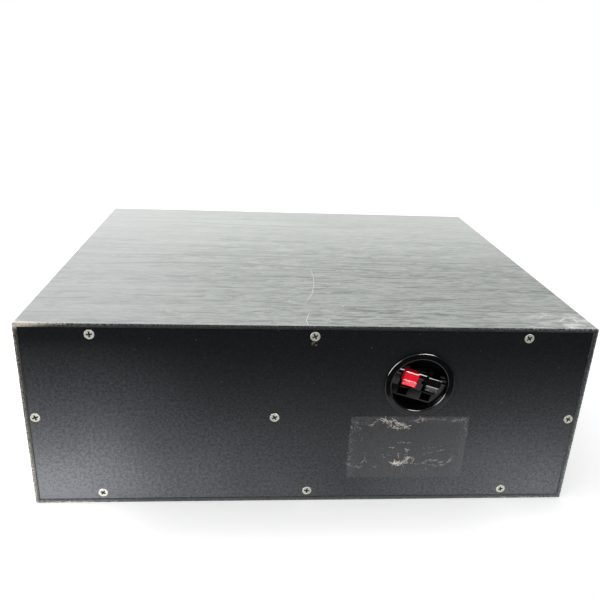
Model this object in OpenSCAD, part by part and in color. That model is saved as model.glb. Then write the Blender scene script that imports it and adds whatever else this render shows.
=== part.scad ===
// Center channel speaker: two woofers and a tweeter in a wrapped cabinet, push terminal at the back.
// X runs left to right as seen from the front, the front looks along -Y, Z is up, the base lies on Z = 0.

/* [Cabinet] */
// Overall width
cabinet_w = 450; // [420:5:560]
// Overall depth of the boards
cabinet_d = 365; // [340:5:420]
// Overall height
cabinet_h = 163; // [155:1:200]
// Thickness of the four wrapped boards
board_t = 15; // [14:0.5:18]
// Rounding of the long outer edges
edge_r = 1.2; // [0.6:0.2:3]
// Depth of the grooves that hold the baffle
groove = 3; // [2:0.5:6]

/* [Back panel] */
// Thickness of the back panel
panel_t = 9; // [8:0.5:12]
// Width of the board edge left around the panel
lip_w = 3.2; // [2:0.2:3.6]
// Gap between the panel and that edge
panel_gap = 0.4; // [0.2:0.1:0.6]
// How far the panel's face lies below the board edges
panel_recess = 0.5; // [0:0.1:1.5]
// Distance from the middle to the outer screws of the top and bottom rows
screw_row_x = 170; // [120:2:190]
// Height of the screw rows above and below the cabinet's faces
screw_row_inset = 9.2; // [8.4:0.2:11]
// Distance of the side screws from the cabinet's sides
side_screw_inset = 8; // [7.8:0.2:11]
// How much lower the side screw near the terminal was drilled
side_screw_drop = 1.8; // [0:0.2:4]
// Head radius of the panel screws
screw_head_r = 4.1; // [3.4:0.1:4.2]
// Shank radius of the panel screws
screw_shank_r = 1.8; // [1.4:0.1:2]
// Length of the panel screws
screw_len = 28; // [20:1:35]

/* [Brace] */
// Place of the batten behind the middle screw
brace_x = 29.4; // [0:0.2:60]
// Width of the batten
brace_w = 20; // [14:1:30]
// Depth of the batten
brace_d = 30; // [25:1:45]

/* [Terminal] */
// Distance of the terminal's centre from the nearer side
cup_from_side = 139; // [90:1:200]
// Distance of the terminal's centre from the top
cup_from_top = 50.6; // [45:0.2:90]
// Clockwise turn of the terminal, seen from behind
cup_turn = 17; // [-30:1:30]
// Radius of the hole in the panel
cup_hole_r = 25; // [24.8:0.1:27]
// Radius of the rim
rim_r = 28.5; // [27.6:0.1:32]
// Height of the rim above the panel
rim_h = 2.2; // [1.6:0.1:3.5]
// Rounding of the rim's edges
rim_round = 1.1; // [0.6:0.1:1.4]
// Depth of the recess below the panel's face
cup_depth = 12.5; // [12:0.5:16]
// Wall of the moulding
cup_wall = 1.6; // [1.2:0.1:2.2]
// Distance between the two levers' centres
lever_pitch = 20; // [19:0.2:21]
// Width of a lever
lever_w = 11.4; // [10:0.1:12.6]
// How far the levers' faces stand out of the panel's face
lever_rise = 2.8; // [1:0.2:4]
// Gap at each side of a lever
lever_gap = 0.35; // [0.2:0.05:0.6]
// Radius of a lever's trunnions
trunnion_r = 1.1; // [0.9:0.05:1.3]
// Width of a wire mouth
mouth_w = 8.4; // [7:0.1:10.5]
// Height of a wire mouth
mouth_h = 6.6; // [5.5:0.1:7]

/* [Baffle and grille] */
// Thickness of the front baffle
baffle_t = 15; // [13:0.5:18]
// How far the baffle lies behind the cabinet's front edges
baffle_setback = 17; // [16:0.5:24]
// Thickness of the grille frame
grille_t = 14; // [13:0.5:16]
// Width of the rails and end battens of the grille frame
grille_member = 12; // [10:0.5:14]
// Width of the two cross bars
grille_bar_w = 10; // [8:0.5:14]
// Gap around the grille
grille_gap = 1.5; // [1:0.1:3]
// Thickness of the cloth
cloth_t = 0.6; // [0.4:0.1:1]
// Radius of the grille pegs
peg_r = 3; // [2:0.1:3.4]
// Gap around a peg in its socket
peg_clearance = 0.1; // [0.06:0.02:0.2]
// Length of a peg behind the grille frame
peg_len = 10; // [7:0.5:11]

/* [Woofers] */
// Gap between a basket's rim and the top and bottom boards
woofer_board_gap = 6.5; // [5:0.5:8.5]
// Gap between the rim and the side board
woofer_side_gap = 12; // [8:1:30]
// Thickness of the basket's sheet
sheet_t = 1.4; // [1:0.1:1.8]
// Radius of the half roll of the surround
roll_r = 5.4; // [4.5:0.1:6]
// Thickness of the surround
roll_t = 0.6; // [0.4:0.1:0.8]
// Height of the cone from neck to edge
cone_h = 19.4; // [17:0.2:21]
// Outer radius of the voice coil's former
coil_r = 13; // [11:0.1:14]
// Radius of the dust cap
cap_r = 15; // [14.6:0.1:18]
// Radius of the magnet ring
magnet_r = 36; // [34.5:0.5:44]
// Thickness of the magnet ring
magnet_t = 12; // [10:0.5:16]
// Thickness of the two steel plates of the magnet
plate_t = 5; // [4:0.5:6]
// Height of the basket from its rim to its floor
basket_h = 31; // [30:0.5:34]

/* [Tweeter] */
// Radius of the faceplate
face_r = 46; // [44:0.5:50]
// Thickness of the faceplate
face_t = 3.2; // [2.6:0.2:4]
// Radius of the dome
dome_r = 12.5; // [11.5:0.1:13.5]
// Width of the faceplate's flange around its hole in the baffle
tweeter_rim_w = 11.5; // [10:0.5:13]

/* [Wiring and filter] */
// Radius of a lead
lead_r = 1.1; // [0.8:0.1:1.4]
// Length of the filter board, left to right
filter_w = 110; // [100:1:130]
// Width of the filter board
filter_d = 76; // [70:1:90]
// Thickness of the filter board
filter_t = 2; // [1.5:0.5:3]
// Radius of a capacitor
capacitor_r = 8; // [6:0.5:9]
// Length of a capacitor
capacitor_len = 32; // [26:1:36]
// Radius of an inductor's winding
inductor_r = 13; // [11:0.5:13]
// Height of an inductor
inductor_h = 13; // [10:0.5:18]
// Length of the drivers' screws
driver_screw_len = 15; // [12:0.5:15]

/* [Hidden] */
$fn = 72;

// A cutter runs past the surface that it cuts by this much
over = 1;

// Planes of the cabinet
front_y = -cabinet_d / 2;
rear_y = cabinet_d / 2;
mid_z = cabinet_h / 2;
inner_w = cabinet_w - 2 * board_t;
inner_h = cabinet_h - 2 * board_t;
ceiling_z = cabinet_h - board_t;
baffle_face_y = front_y + baffle_setback;
baffle_back_y = baffle_face_y + baffle_t;
panel_face_y = rear_y - panel_recess;
panel_inner_y = panel_face_y - panel_t;

// Screws of the back panel: [x, z] seen in the part's frame
screw_hole_r = screw_shank_r + 0.4;
pilot_clearance = 0.05;
screw_places = [
    for (x = [-screw_row_x, 0, screw_row_x], z = [screw_row_inset, cabinet_h - screw_row_inset]) [x, z],
    [cabinet_w / 2 - side_screw_inset, mid_z],
    [-(cabinet_w / 2 - side_screw_inset), mid_z - side_screw_drop],
    [brace_x, mid_z]
];

// Terminal, in its own frame: x right and y up as seen from behind, z out of the panel, 0 at its face
cup_x = -cabinet_w / 2 + cup_from_side;
cup_z = cabinet_h - cup_from_top;
barrel_r = cup_hole_r - 0.4;
mouth_r = barrel_r - cup_wall - 0.2;
floor_r = mouth_r - 0.8;
floor_z = -cup_depth;
pivot = [6.5, 7.5];
block_y = [-14.4, -5.8];
block_top = floor_z + 10.5;
mouth_low_y = -13.2;
strip_t = 0.6;
strip_w = 6;
strip_y = mouth_low_y + mouth_h;
tag_z = floor_z - 4.5;
leaf_t = 0.4;
leaf_w = 5;
leaf_bend_r = 2;
leaf_slope = 37;
cheek_inner = lever_pitch / 2 - lever_w / 2 - lever_gap;
cheek_outer = lever_pitch / 2 + lever_w / 2 + lever_gap;

// Grille, measured from the baffle's face
grille_stand = 1;
grille_back_y = baffle_face_y - grille_stand;
grille_face_y = grille_back_y - grille_t;
grille_w = inner_w - 2 * grille_gap - 2 * cloth_t;
grille_h = inner_h - 2 * grille_gap - 2 * cloth_t;
grille_window_h = grille_h - 2 * grille_member;
peg_places = [
    for (sx = [-1, 1], sz = [-1, 1])
        [sx * (grille_w - grille_member) / 2, mid_z + sz * (grille_h - grille_member) / 2]
];
socket_r = peg_r + 2;

// Woofer, in its own frame: z out of the baffle, 0 at its face. It fills the baffle's height, or the width
// that the tweeter and the cross bar leave it
rim_clearance = 1.5;
driver_gap = grille_bar_w + 2 * rim_clearance + 1;
woofer_r = min(
    inner_h / 2 - woofer_board_gap,
    (inner_w / 2 - woofer_side_gap - face_r - driver_gap) / 2
);
woofer_x = inner_w / 2 - woofer_side_gap - woofer_r;
basket_side_r = woofer_r - 9.4;
cut_r = basket_side_r + 0.9;
screw_circle = woofer_r - 3.8;
land_r = woofer_r - 7.4;
gasket_t = 2.5;
roll_centre = land_r - 3.8 - roll_r;
cone_edge_r = roll_centre - roll_r + 0.4;
cone_lip = 2.5;
cone_t = 0.7;
cone_top = sheet_t - 0.2;
neck_r = coil_r + 0.05;
neck_z = cone_top - 0.8 - cone_h;
former_t = 0.4;
winding_t = 0.6;
gap_r = coil_r + winding_t + 0.7;
pole_r = coil_r - former_t - 0.4;
ledge_z = -20.6;
spider_r = magnet_r - 0.8;
top_plate_z = -basket_h;
magnet_z = top_plate_z - plate_t;
back_plate_z = magnet_z - magnet_t;
plate_r = magnet_r - 3;
coil_travel = 4;
woofer_tab_r = plate_r + 13;
woofer_tab_x = 4;
woofer_tag_z = -basket_h + 4;
woofer_back_y = baffle_face_y - back_plate_z + plate_t;

// Tweeter, in the same kind of frame
tweeter_cut_r = face_r - tweeter_rim_w;
tweeter_magnet_r = tweeter_cut_r - 2.5;
tweeter_plate_r = tweeter_magnet_r - 2;
tweeter_plate_t = 4;
tweeter_flange_t = 0.4;
tweeter_magnet_t = 8;
tweeter_screw_circle = face_r - tweeter_rim_w / 2;
dome_roll_r = 1.85;
tweeter_plate_z = -tweeter_flange_t;
tweeter_magnet_z = tweeter_plate_z - tweeter_plate_t;
tweeter_back_z = tweeter_magnet_z - tweeter_magnet_t;
tweeter_tag_z = tweeter_back_z - tweeter_plate_t - 1.2;
tweeter_tab_x = 4;
tweeter_tab_len = 5.8;

// Filter board on the bottom board, below the terminal
filter_x = cup_x - 4;
filter_y = panel_inner_y - 75;
filter_top = board_t + filter_t;
filter_front = filter_y - filter_d / 2;
filter_rear = filter_y + filter_d / 2;
inductor_flange_r = inductor_r + 2;

// Leads: a route leaves the filter board, runs along the bottom board and climbs to a driver's tab
lead_z = board_t + lead_r + 0.9;
woofer_tab_y = baffle_face_y - woofer_tag_z + 1.5;
woofer_tab_z = mid_z - woofer_tab_r - 0.5;
tweeter_tab_y = baffle_face_y - tweeter_tag_z + tweeter_tab_len + 0.6;
function mix(a, b, t) = a + (b - a) * t;
function leave(x) = [
    [x, filter_front + 4, filter_top + 0.7], [x, filter_front + 2, filter_top + 3],
    [x, filter_front - 4, filter_top + 4], [x, filter_front - 20, lead_z + 1]
];
function run(x0, x1, drift) =
    let (y0 = filter_front - 20, y1 = woofer_tab_y + 27)
    [for (t = [0.3, 0.7]) [mix(x0, x1, t) + drift, mix(y0, y1, t), lead_z]];
function reach_woofer(x) = [
    [x, woofer_tab_y + 27, lead_z + 1], [x, woofer_tab_y + 9, mix(lead_z, woofer_tab_z, 0.3)],
    [x, woofer_tab_y + 1, mix(lead_z, woofer_tab_z, 0.6)], [x, woofer_tab_y, woofer_tab_z]
];
function woofer_route(x0, x1, drift) = concat(leave(x0), run(x0, x1, drift), reach_woofer(x1));
function reach_tweeter(x) = [
    [x, woofer_tab_y + 27, lead_z + 2], [x, tweeter_tab_y + 24, mix(lead_z, mid_z, 0.45)],
    [x, tweeter_tab_y + 15, mix(lead_z, mid_z, 0.8)],
    [x, tweeter_tab_y + 7, mid_z - 1.5], [x, tweeter_tab_y, mid_z]
];
function at_terminal(x, y, z) = [
    cup_x - x * cos(cup_turn) - y * sin(cup_turn), panel_face_y + z,
    cup_z - x * sin(cup_turn) + y * cos(cup_turn)
];
function input_route(side) =
    let (x = filter_x - side * 7,
         tag = at_terminal(side * lever_pitch / 2, strip_y - strip_t / 2, tag_z - 0.5))
    [
        tag, tag - [0, 6, 1], [mix(tag[0], x, 0.2), tag[1] - 14, tag[2] - 6],
        [mix(tag[0], x, 0.5), tag[1] - 19, mix(filter_top, tag[2], 0.8)],
        [mix(tag[0], x, 0.8), tag[1] - 21, mix(filter_top, tag[2], 0.55)],
        [x, filter_rear, mix(filter_top, tag[2], 0.3)], [x, filter_rear - 4, filter_top + 11],
        [x, filter_rear - 7, filter_top + 3], [x, filter_rear - 7.5, filter_top + 0.3]
    ];
input_routes = [for (side = [-1, 1]) input_route(side)];
left_routes = [
    for (side = [-1, 1]) woofer_route(filter_x - 35 + 3 * side, -woofer_x + side * woofer_tab_x, -2)
];
right_routes = [
    for (side = [-1, 1]) woofer_route(filter_x + 39 + 3 * side, woofer_x + side * woofer_tab_x, 14)
];
tweeter_routes = [
    for (side = [-1, 1])
        let (x0 = filter_x + 27 + 3 * side, x1 = side * tweeter_tab_x)
        concat(leave(x0), run(x0, x1, 4), reach_tweeter(x1))
];

// Helpers
module along_y(y0, y1) {
    translate([0, y1, 0]) rotate([90, 0, 0]) linear_extrude(y1 - y0) children();
}

module centred_box(w, h, z) {
    translate([-w / 2, z]) square([w, h]);
}

module rounded_box(w, h, r) {
    translate([-w / 2, r]) square([w, h - 2 * r]);
    translate([-w / 2 + r, 0]) square([w - 2 * r, h]);
    for (x = [-w / 2 + r, w / 2 - r], z = [r, h - r])
        translate([x, z]) circle(r);
}

module tube(r_out, r_in, z0, z1) {
    translate([0, 0, z0]) difference() {
        cylinder(r = r_out, h = z1 - z0);
        translate([0, 0, -over]) cylinder(r = r_in, h = z1 - z0 + 2 * over);
    }
}

module disc(r, z0, z1) {
    translate([0, 0, z0]) cylinder(r = r, h = z1 - z0);
}

module half_ring(r_out, r_in) {
    intersection() {
        difference() {
            circle(r_out);
            circle(r_in);
        }
        translate([-r_out - over, 0]) square([2 * (r_out + over), r_out + over]);
    }
}

module sector(r, from, to) {
    arc = [for (i = [0:4]) r * [cos(from + i * (to - from) / 4), sin(from + i * (to - from) / 4)]];
    polygon(concat([[0, 0]], arc));
}

module on_panel(place) {
    translate([place[0], panel_face_y, place[1]]) rotate([-90, 0, 0]) children();
}

module on_baffle(x) {
    translate([x, baffle_face_y, mid_z]) rotate([90, 0, 0]) children();
}

module in_terminal() {
    translate([cup_x, panel_face_y, cup_z]) rotate([90, 0, 180]) rotate([0, 0, -cup_turn]) children();
}

// A solid that runs w along the terminal's x axis, from a side view drawn as [y, z - floor]
module across(w) {
    translate([-w / 2, 0, floor_z]) rotate([90, 0, 90]) linear_extrude(w) children();
}

module cross_recess(size, depth) {
    for (turn = [45, 135])
        rotate([0, 0, turn]) translate([-size / 2, -size / 10, -depth]) cube([size, size / 5, depth + over]);
}

// Rings of points along a route, each square to the route
function unit(v) = v / norm(v);
function heading(p, i) = unit(p[min(i + 1, len(p) - 1)] - p[max(i - 1, 0)]);
function ring(c, t, r, n) =
    let (u = unit(cross([0.9, 0.3, -0.3], t)), v = cross(t, u))
    [for (j = [0:n - 1]) c + r * (cos(j * 360 / n) * u + sin(j * 360 / n) * v)];

module lead(p, n = 8) {
    last = len(p) - 1;
    points = [for (i = [0:last]) each ring(p[i], heading(p, i), lead_r, n)];
    sides = [
        for (i = [0:last - 1], j = [0:n - 1])
            [i * n + j, (i + 1) * n + j, (i + 1) * n + (j + 1) % n, i * n + (j + 1) % n]
    ];
    first_cap = [for (j = [0:n - 1]) j];
    last_cap = [for (j = [0:n - 1]) last * n + n - 1 - j];
    polyhedron(points, concat(sides, [first_cap, last_cap]));
}

// Cabinet: one wrapped ring of four boards, cut apart at the mitres
module cabinet_ring() {
    difference() {
        along_y(front_y, rear_y) rounded_box(cabinet_w, cabinet_h, edge_r);
        along_y(front_y - over, rear_y + over) centred_box(inner_w, inner_h, board_t);
        along_y(panel_inner_y, rear_y + over)
            centred_box(cabinet_w - 2 * lip_w, cabinet_h - 2 * lip_w, lip_w);
        along_y(baffle_face_y, baffle_back_y)
            centred_box(inner_w + 2 * groove, inner_h + 2 * groove, board_t - groove);
        for (place = screw_places)
            on_panel(place) disc(screw_shank_r + pilot_clearance, -screw_len - over, over);
    }
}

// Mitre wedges, a little longer than the boards on both sides
wedge_in = board_t + over;
module flat_wedge() {
    polygon([
        [-cabinet_w / 2 - over, -over], [cabinet_w / 2 + over, -over],
        [cabinet_w / 2 - wedge_in, wedge_in], [-cabinet_w / 2 + wedge_in, wedge_in]
    ]);
}

module side_wedge() {
    polygon([
        [cabinet_w / 2 + over, -over], [cabinet_w / 2 + over, cabinet_h + over],
        [cabinet_w / 2 - wedge_in, cabinet_h - wedge_in], [cabinet_w / 2 - wedge_in, wedge_in]
    ]);
}

module bottom_board() {
    color("dimgray") intersection() {
        cabinet_ring();
        along_y(front_y - over, rear_y + over) flat_wedge();
    }
}

module top_board() {
    color("dimgray") intersection() {
        cabinet_ring();
        along_y(front_y - over, rear_y + over) translate([0, cabinet_h]) mirror([0, 1]) flat_wedge();
    }
}

module right_side_board() {
    color("dimgray") intersection() {
        cabinet_ring();
        along_y(front_y - over, rear_y + over) side_wedge();
    }
}

module left_side_board() {
    color("dimgray") intersection() {
        cabinet_ring();
        along_y(front_y - over, rear_y + over) mirror([1, 0]) side_wedge();
    }
}

module front_baffle() {
    color("#2a2a2c") difference() {
        along_y(baffle_face_y, baffle_back_y)
            centred_box(inner_w + 2 * groove, inner_h + 2 * groove, board_t - groove);
        for (x = [-woofer_x, woofer_x])
            on_baffle(x) {
                disc(cut_r, -baffle_t - over, over);
                for (turn = [45:90:315])
                    rotate([0, 0, turn]) translate([screw_circle, 0, 0]) disc(1.8, -14, over);
            }
        on_baffle(0) {
            disc(tweeter_cut_r, -baffle_t - over, over);
            for (turn = [45:90:315])
                rotate([0, 0, turn]) translate([tweeter_screw_circle, 0, 0]) disc(1.5, -13, over);
        }
        for (place = peg_places)
            translate([place[0], baffle_face_y, place[1]]) rotate([90, 0, 0])
                disc(socket_r + pilot_clearance, -peg_len - 1.2, over);
    }
}

module back_panel() {
    panel_w = cabinet_w - 2 * (lip_w + panel_gap);
    panel_h = cabinet_h - 2 * (lip_w + panel_gap);
    sink = screw_head_r - screw_shank_r;
    color("#26282c") difference() {
        along_y(panel_inner_y, panel_face_y) centred_box(panel_w, panel_h, lip_w + panel_gap);
        on_panel([cup_x, cup_z]) disc(cup_hole_r, -panel_t - over, over);
        for (place = screw_places)
            on_panel(place) {
                disc(screw_hole_r, -panel_t - over, over);
                translate([0, 0, -sink + 0.4])
                    cylinder(r1 = screw_hole_r, r2 = screw_head_r + 0.1 + over, h = sink - 0.3 + over);
            }
    }
}

module centre_brace() {
    color("burlywood") difference() {
        translate([brace_x - brace_w / 2, panel_inner_y - brace_d, board_t])
            cube([brace_w, brace_d, inner_h]);
        on_panel([brace_x, mid_z]) disc(screw_shank_r + pilot_clearance, -screw_len - over, over);
    }
}

// Countersunk screws with a cross recess, flush with the panel
module back_panel_screws() {
    sink = screw_head_r - screw_shank_r;
    color("silver")
        for (place = screw_places)
            on_panel(place) difference() {
                union() {
                    translate([0, 0, -sink]) cylinder(r1 = screw_shank_r, r2 = screw_head_r, h = sink);
                    disc(screw_shank_r, -screw_len + 3, -sink);
                    translate([0, 0, -screw_len]) cylinder(r1 = 0.3, r2 = screw_shank_r, h = 3);
                }
                cross_recess(screw_head_r * 1.1, 1.6);
            }
}

// Terminal: a round moulding with a rounded rim, three cheeks that carry the levers and a block
// below them with the two wire mouths
module rim_section() {
    w = rim_r - mouth_r;
    translate([mouth_r, -0.01]) square([w, rim_h - rim_round + 0.01]);
    translate([mouth_r + rim_round, -0.01]) square([w - 2 * rim_round, rim_h + 0.01]);
    for (r = [mouth_r + rim_round, rim_r - rim_round])
        translate([r, rim_h - rim_round]) circle(rim_round);
}

module cheek_side() {
    polygon([
        [block_y[0], -over], [block_y[0], block_top - floor_z], [block_y[1], block_top - floor_z],
        [pivot[0] - 2, pivot[1] + 3.5], [pivot[0] + 3.4, pivot[1]], [pivot[0] + 3.4, -over]
    ]);
    translate([pivot[0] - 1, pivot[1] + 0.5]) circle(3.6);
}

module cheeks() {
    across(2 * cheek_inner) cheek_side();
    for (side = [-1, 1])
        translate([side * (cheek_outer + 5), 0, 0]) across(10) cheek_side();
}

module terminal_cup() {
    color("#141416") in_terminal() difference() {
        union() {
            rotate_extrude() {
                polygon([
                    [mouth_r, 0], [barrel_r, 0], [barrel_r, floor_z - cup_wall],
                    [0, floor_z - cup_wall], [0, floor_z], [floor_r, floor_z]
                ]);
                difference() {
                    rim_section();
                    translate([0, -over]) square([rim_r + over, over]);
                }
            }
            intersection() {
                union() {
                    cheeks();
                    translate([-cheek_outer - over, block_y[0], floor_z - 0.5])
                        cube([2 * (cheek_outer + over), block_y[1] - block_y[0], block_top - floor_z + 0.5]);
                }
                disc(floor_r + 0.4, floor_z - cup_wall / 2, 0);
            }
            // Snap barbs behind the panel
            for (turn = [0:90:270])
                rotate([0, 0, turn + 33]) intersection() {
                    rotate_extrude() polygon([
                        [barrel_r - 0.5, -panel_t - 0.3], [cup_hole_r + 0.8, -panel_t - 0.3],
                        [barrel_r, -panel_t - 4], [barrel_r - 0.5, -panel_t - 4]
                    ]);
                    translate([0, 0, -panel_t - 5]) linear_extrude(6) sector(2 * cup_hole_r, -12, 12);
                }
        }
        for (side = [-1, 1])
            translate([side * lever_pitch / 2, 0, 0]) {
                // Wire mouth, with the seat of the contact strip at its top and the slot of the tag
                translate([-mouth_w / 2, mouth_low_y, floor_z + 1])
                    cube([mouth_w, mouth_h, block_top - floor_z + over]);
                translate([-strip_w / 2 - 0.1, strip_y - strip_t, floor_z - cup_wall - over])
                    cube([strip_w + 0.2, strip_t, cup_wall + 3]);
                // Bearings of the lever's trunnions
                translate([0, pivot[0], floor_z + pivot[1]]) rotate([0, 90, 0])
                    cylinder(r = trunnion_r + 0.06, h = lever_w + 2 * lever_gap + 2.6, center = true);
            }
    }
}

// A push lever in side view: hub, smooth face, ribbed grip and the leg that bends the leaf spring
module lever_side() {
    top = cup_depth + lever_rise;
    polygon([
        [pivot[0] + 2.3, pivot[1] + 0.6], [9.3, top - 1.3], [9.2, top - 0.5], [8.8, top], [2.5, top + 0.2],
        [2.1, top + 0.9], [-1.7, top + 1.2], [-2.1, top + 0.7], [-2, top - 0.5], [0.6, top - 1.6],
        [3.4, top - 1.8], [pivot[0] - 2, pivot[1] + 1.4]
    ]);
    translate(pivot) circle(2.4);
    polygon([[0.6, top - 1], [2.8, top - 1], [2.4, pivot[1] + 0.3], [1, pivot[1] + 0.3]]);
    translate([1.7, pivot[1] + 0.3]) circle(0.7);
    for (i = [0:3])
        translate([1.6 - i, top + 0.9 + 0.07 * i]) circle(0.4);
}

module lever(side) {
    in_terminal() translate([side * lever_pitch / 2, 0, 0]) {
        across(lever_w) lever_side();
        translate([0, pivot[0], floor_z + pivot[1]]) rotate([0, 90, 0])
            cylinder(r = trunnion_r, h = lever_w + 2 * lever_gap + 1.9, center = true);
    }
}

module contact(side) {
    in_terminal() translate([side * lever_pitch / 2, 0, 0])
        translate([-strip_w / 2, strip_y - strip_t, tag_z])
            cube([strip_w, strip_t, block_top - 1 - tag_z]);
}

// Bent leaf: a flat foot on the floor, a bend, and a tongue that rises to the lever's leg
module leaf_side() {
    bend = [-1, leaf_bend_r];
    translate([bend[0], 0]) square([9, leaf_t]);
    translate(bend) intersection() {
        difference() {
            circle(leaf_bend_r);
            circle(leaf_bend_r - leaf_t);
        }
        sector(2 * leaf_bend_r, 87 + leaf_slope, 273);
    }
    translate(bend) rotate(leaf_slope) translate([0, leaf_bend_r - leaf_t]) square([6, leaf_t]);
}

module leaf(side) {
    in_terminal() translate([side * lever_pitch / 2, 0, 0]) across(leaf_w) leaf_side();
}

module red_lever() color("#e0101e") lever(-1);
module black_lever() color("#101012") lever(1);
module red_contact() color("goldenrod") contact(-1);
module black_contact() color("goldenrod") contact(1);
module red_spring() color("lightgray") leaf(-1);
module black_spring() color("lightgray") leaf(1);

// Grille: battens butted together and relieved behind for the drivers' rims, with cloth stretched around them
module driver_reliefs() {
    relief = 8;
    for (x = [-woofer_x, woofer_x])
        on_baffle(x) disc(woofer_r + rim_clearance, 0, relief);
    on_baffle(0) disc(face_r + rim_clearance, 0, relief);
}

// Two upright battens of width w, centred at x to either side
module battens(x, w) {
    along_y(grille_face_y, grille_back_y)
        for (side = [-1, 1])
            translate([side * x - w / 2, mid_z - grille_window_h / 2]) square([w, grille_window_h]);
}

module grille_rails() {
    color("#333335") difference() {
        along_y(grille_face_y, grille_back_y) difference() {
            translate([0, mid_z - grille_h / 2]) rounded_box(grille_w, grille_h, 2);
            translate([-grille_w / 2 - over, mid_z - grille_window_h / 2])
                square([grille_w + 2 * over, grille_window_h]);
        }
        driver_reliefs();
        for (place = peg_places)
            translate([place[0], grille_back_y, place[1]]) rotate([90, 0, 0])
                disc(peg_r + pilot_clearance, -over, 7);
    }
}

module grille_uprights() {
    color("#333335") difference() {
        union() {
            battens((grille_w - grille_member) / 2, grille_member);
            battens((face_r + woofer_x - woofer_r) / 2, grille_bar_w);
        }
        driver_reliefs();
    }
}

module grille_cloth() {
    color("#1c1c1e") difference() {
        along_y(grille_face_y - cloth_t, grille_back_y)
            translate([0, mid_z - grille_h / 2 - cloth_t])
                rounded_box(grille_w + 2 * cloth_t, grille_h + 2 * cloth_t, 2 + cloth_t);
        along_y(grille_face_y, grille_back_y + over)
            translate([0, mid_z - grille_h / 2]) rounded_box(grille_w, grille_h, 2);
    }
}

module grille_pegs() {
    color("#202022")
        for (place = peg_places)
            translate([place[0], grille_back_y, place[1]]) rotate([90, 0, 0]) {
                disc(peg_r, -peg_len + 1.5, 6.8);
                translate([0, 0, -peg_len]) cylinder(r1 = peg_r - 1, r2 = peg_r, h = 1.5);
            }
}

module grille_sockets() {
    color("#18181a")
        for (place = peg_places)
            translate([place[0], baffle_face_y, place[1]]) rotate([90, 0, 0]) difference() {
                union() {
                    disc(socket_r, -peg_len - 1, 0);
                    disc(socket_r + 1, 0, grille_stand - 0.2);
                }
                disc(peg_r + peg_clearance, -peg_len, grille_stand + over);
            }
}

// Woofer: pressed basket, moving parts hung in surround and spider, and a ferrite magnet
module basket() {
    wall_foot_r = plate_r + 0.8;
    difference() {
        rotate_extrude() polygon([
            [woofer_r, sheet_t], [basket_side_r - sheet_t, sheet_t], [spider_r + 0.8, ledge_z],
            [wall_foot_r - sheet_t, ledge_z], [wall_foot_r - sheet_t, -basket_h + sheet_t],
            [gap_r + 0.4, -basket_h + sheet_t], [gap_r + 0.4, -basket_h],
            [wall_foot_r, -basket_h], [wall_foot_r, ledge_z - sheet_t],
            [spider_r + 2, ledge_z - sheet_t], [basket_side_r, 0], [woofer_r, 0]
        ]);
        for (turn = [0:60:300])
            rotate([0, 0, turn]) translate([0, 0, ledge_z + 2.5])
                linear_extrude(-ledge_z - 6) sector(2 * woofer_r, -20, 20);
        for (turn = [45:90:315])
            rotate([0, 0, turn]) translate([screw_circle, 0, 0]) disc(2.3, -over, sheet_t + over);
    }
}

module surround() {
    rotate_extrude() translate([0, sheet_t]) {
        translate([roll_centre, 0]) half_ring(roll_r, roll_r - roll_t);
        translate([roll_centre + roll_r - roll_t / 2, 0])
            square([land_r - roll_centre - roll_r + roll_t / 2, roll_t]);
        translate([cone_edge_r - cone_lip, 0])
            square([roll_centre - roll_r + roll_t / 2 - cone_edge_r + cone_lip, roll_t]);
    }
}

module gasket() {
    tube(land_r, roll_centre + roll_r + 0.2, sheet_t + roll_t, sheet_t + roll_t + gasket_t);
}

// Flared paper cone with a flat edge for the surround
function cone_place(s) = let (r0 = cone_edge_r - cone_lip + 0.6)
    [r0 + s * (neck_r - r0), cone_top - 0.8 - cone_h * pow(s, 1.35)];
module cone() {
    steps = 8;
    front = [for (i = [0:steps]) cone_place(i / steps) + [0, cone_t]];
    back = [for (i = [steps:-1:0]) cone_place(i / steps)];
    rotate_extrude() {
        polygon(concat(front, back));
        translate([cone_edge_r - cone_lip, cone_top - 0.8]) square([cone_lip + 0.3, 0.8]);
    }
}

function cone_height_at(r) = let (r0 = cone_edge_r - cone_lip + 0.6)
    cone_top - 0.8 + cone_t - cone_h * pow((r0 - r) / (r0 - neck_r), 1.35);
module dust_cap() {
    ball_r = 26;
    foot_z = cone_height_at(cap_r) + 0.3;
    centre_z = foot_z - sqrt(ball_r * ball_r - cap_r * cap_r);
    rotate_extrude() intersection() {
        translate([0, centre_z]) difference() {
            circle(ball_r);
            circle(ball_r - 0.6);
        }
        translate([0, foot_z]) square([cap_r + over, ball_r]);
    }
}

module voice_coil() {
    bottom = back_plate_z + coil_travel + 1;
    winding_mid = top_plate_z - plate_t / 2;
    tube(coil_r, coil_r - former_t, bottom, neck_z + 1.6);
    tube(coil_r + winding_t, coil_r - former_t / 2, winding_mid - 4.5, winding_mid + 4.5);
}

// Corrugated disc between the basket's ledge and the neck
module spider() {
    inner = coil_r + 0.2;
    outer = plate_r - 0.9;
    waves = 4;
    steps = 6 * waves;
    wave = [for (i = [0:steps]) [inner + i * (outer - inner) / steps, 0.9 * sin(i * 60)]];
    line = concat(wave, [[spider_r, 0]]);
    top = [for (p = line) p + [0, 0.6]];
    bottom = [for (i = [len(line) - 1:-1:0]) line[i] + [0, 0.1]];
    rotate_extrude() translate([0, ledge_z]) polygon(concat(top, bottom));
}

module top_plate() tube(plate_r, gap_r, magnet_z, top_plate_z);
module magnet() tube(magnet_r, gap_r + 3.7, back_plate_z, magnet_z);
module back_plate() {
    disc(plate_r, back_plate_z - plate_t, back_plate_z);
    disc(pole_r, back_plate_z - plate_t / 2, top_plate_z);
}

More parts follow.
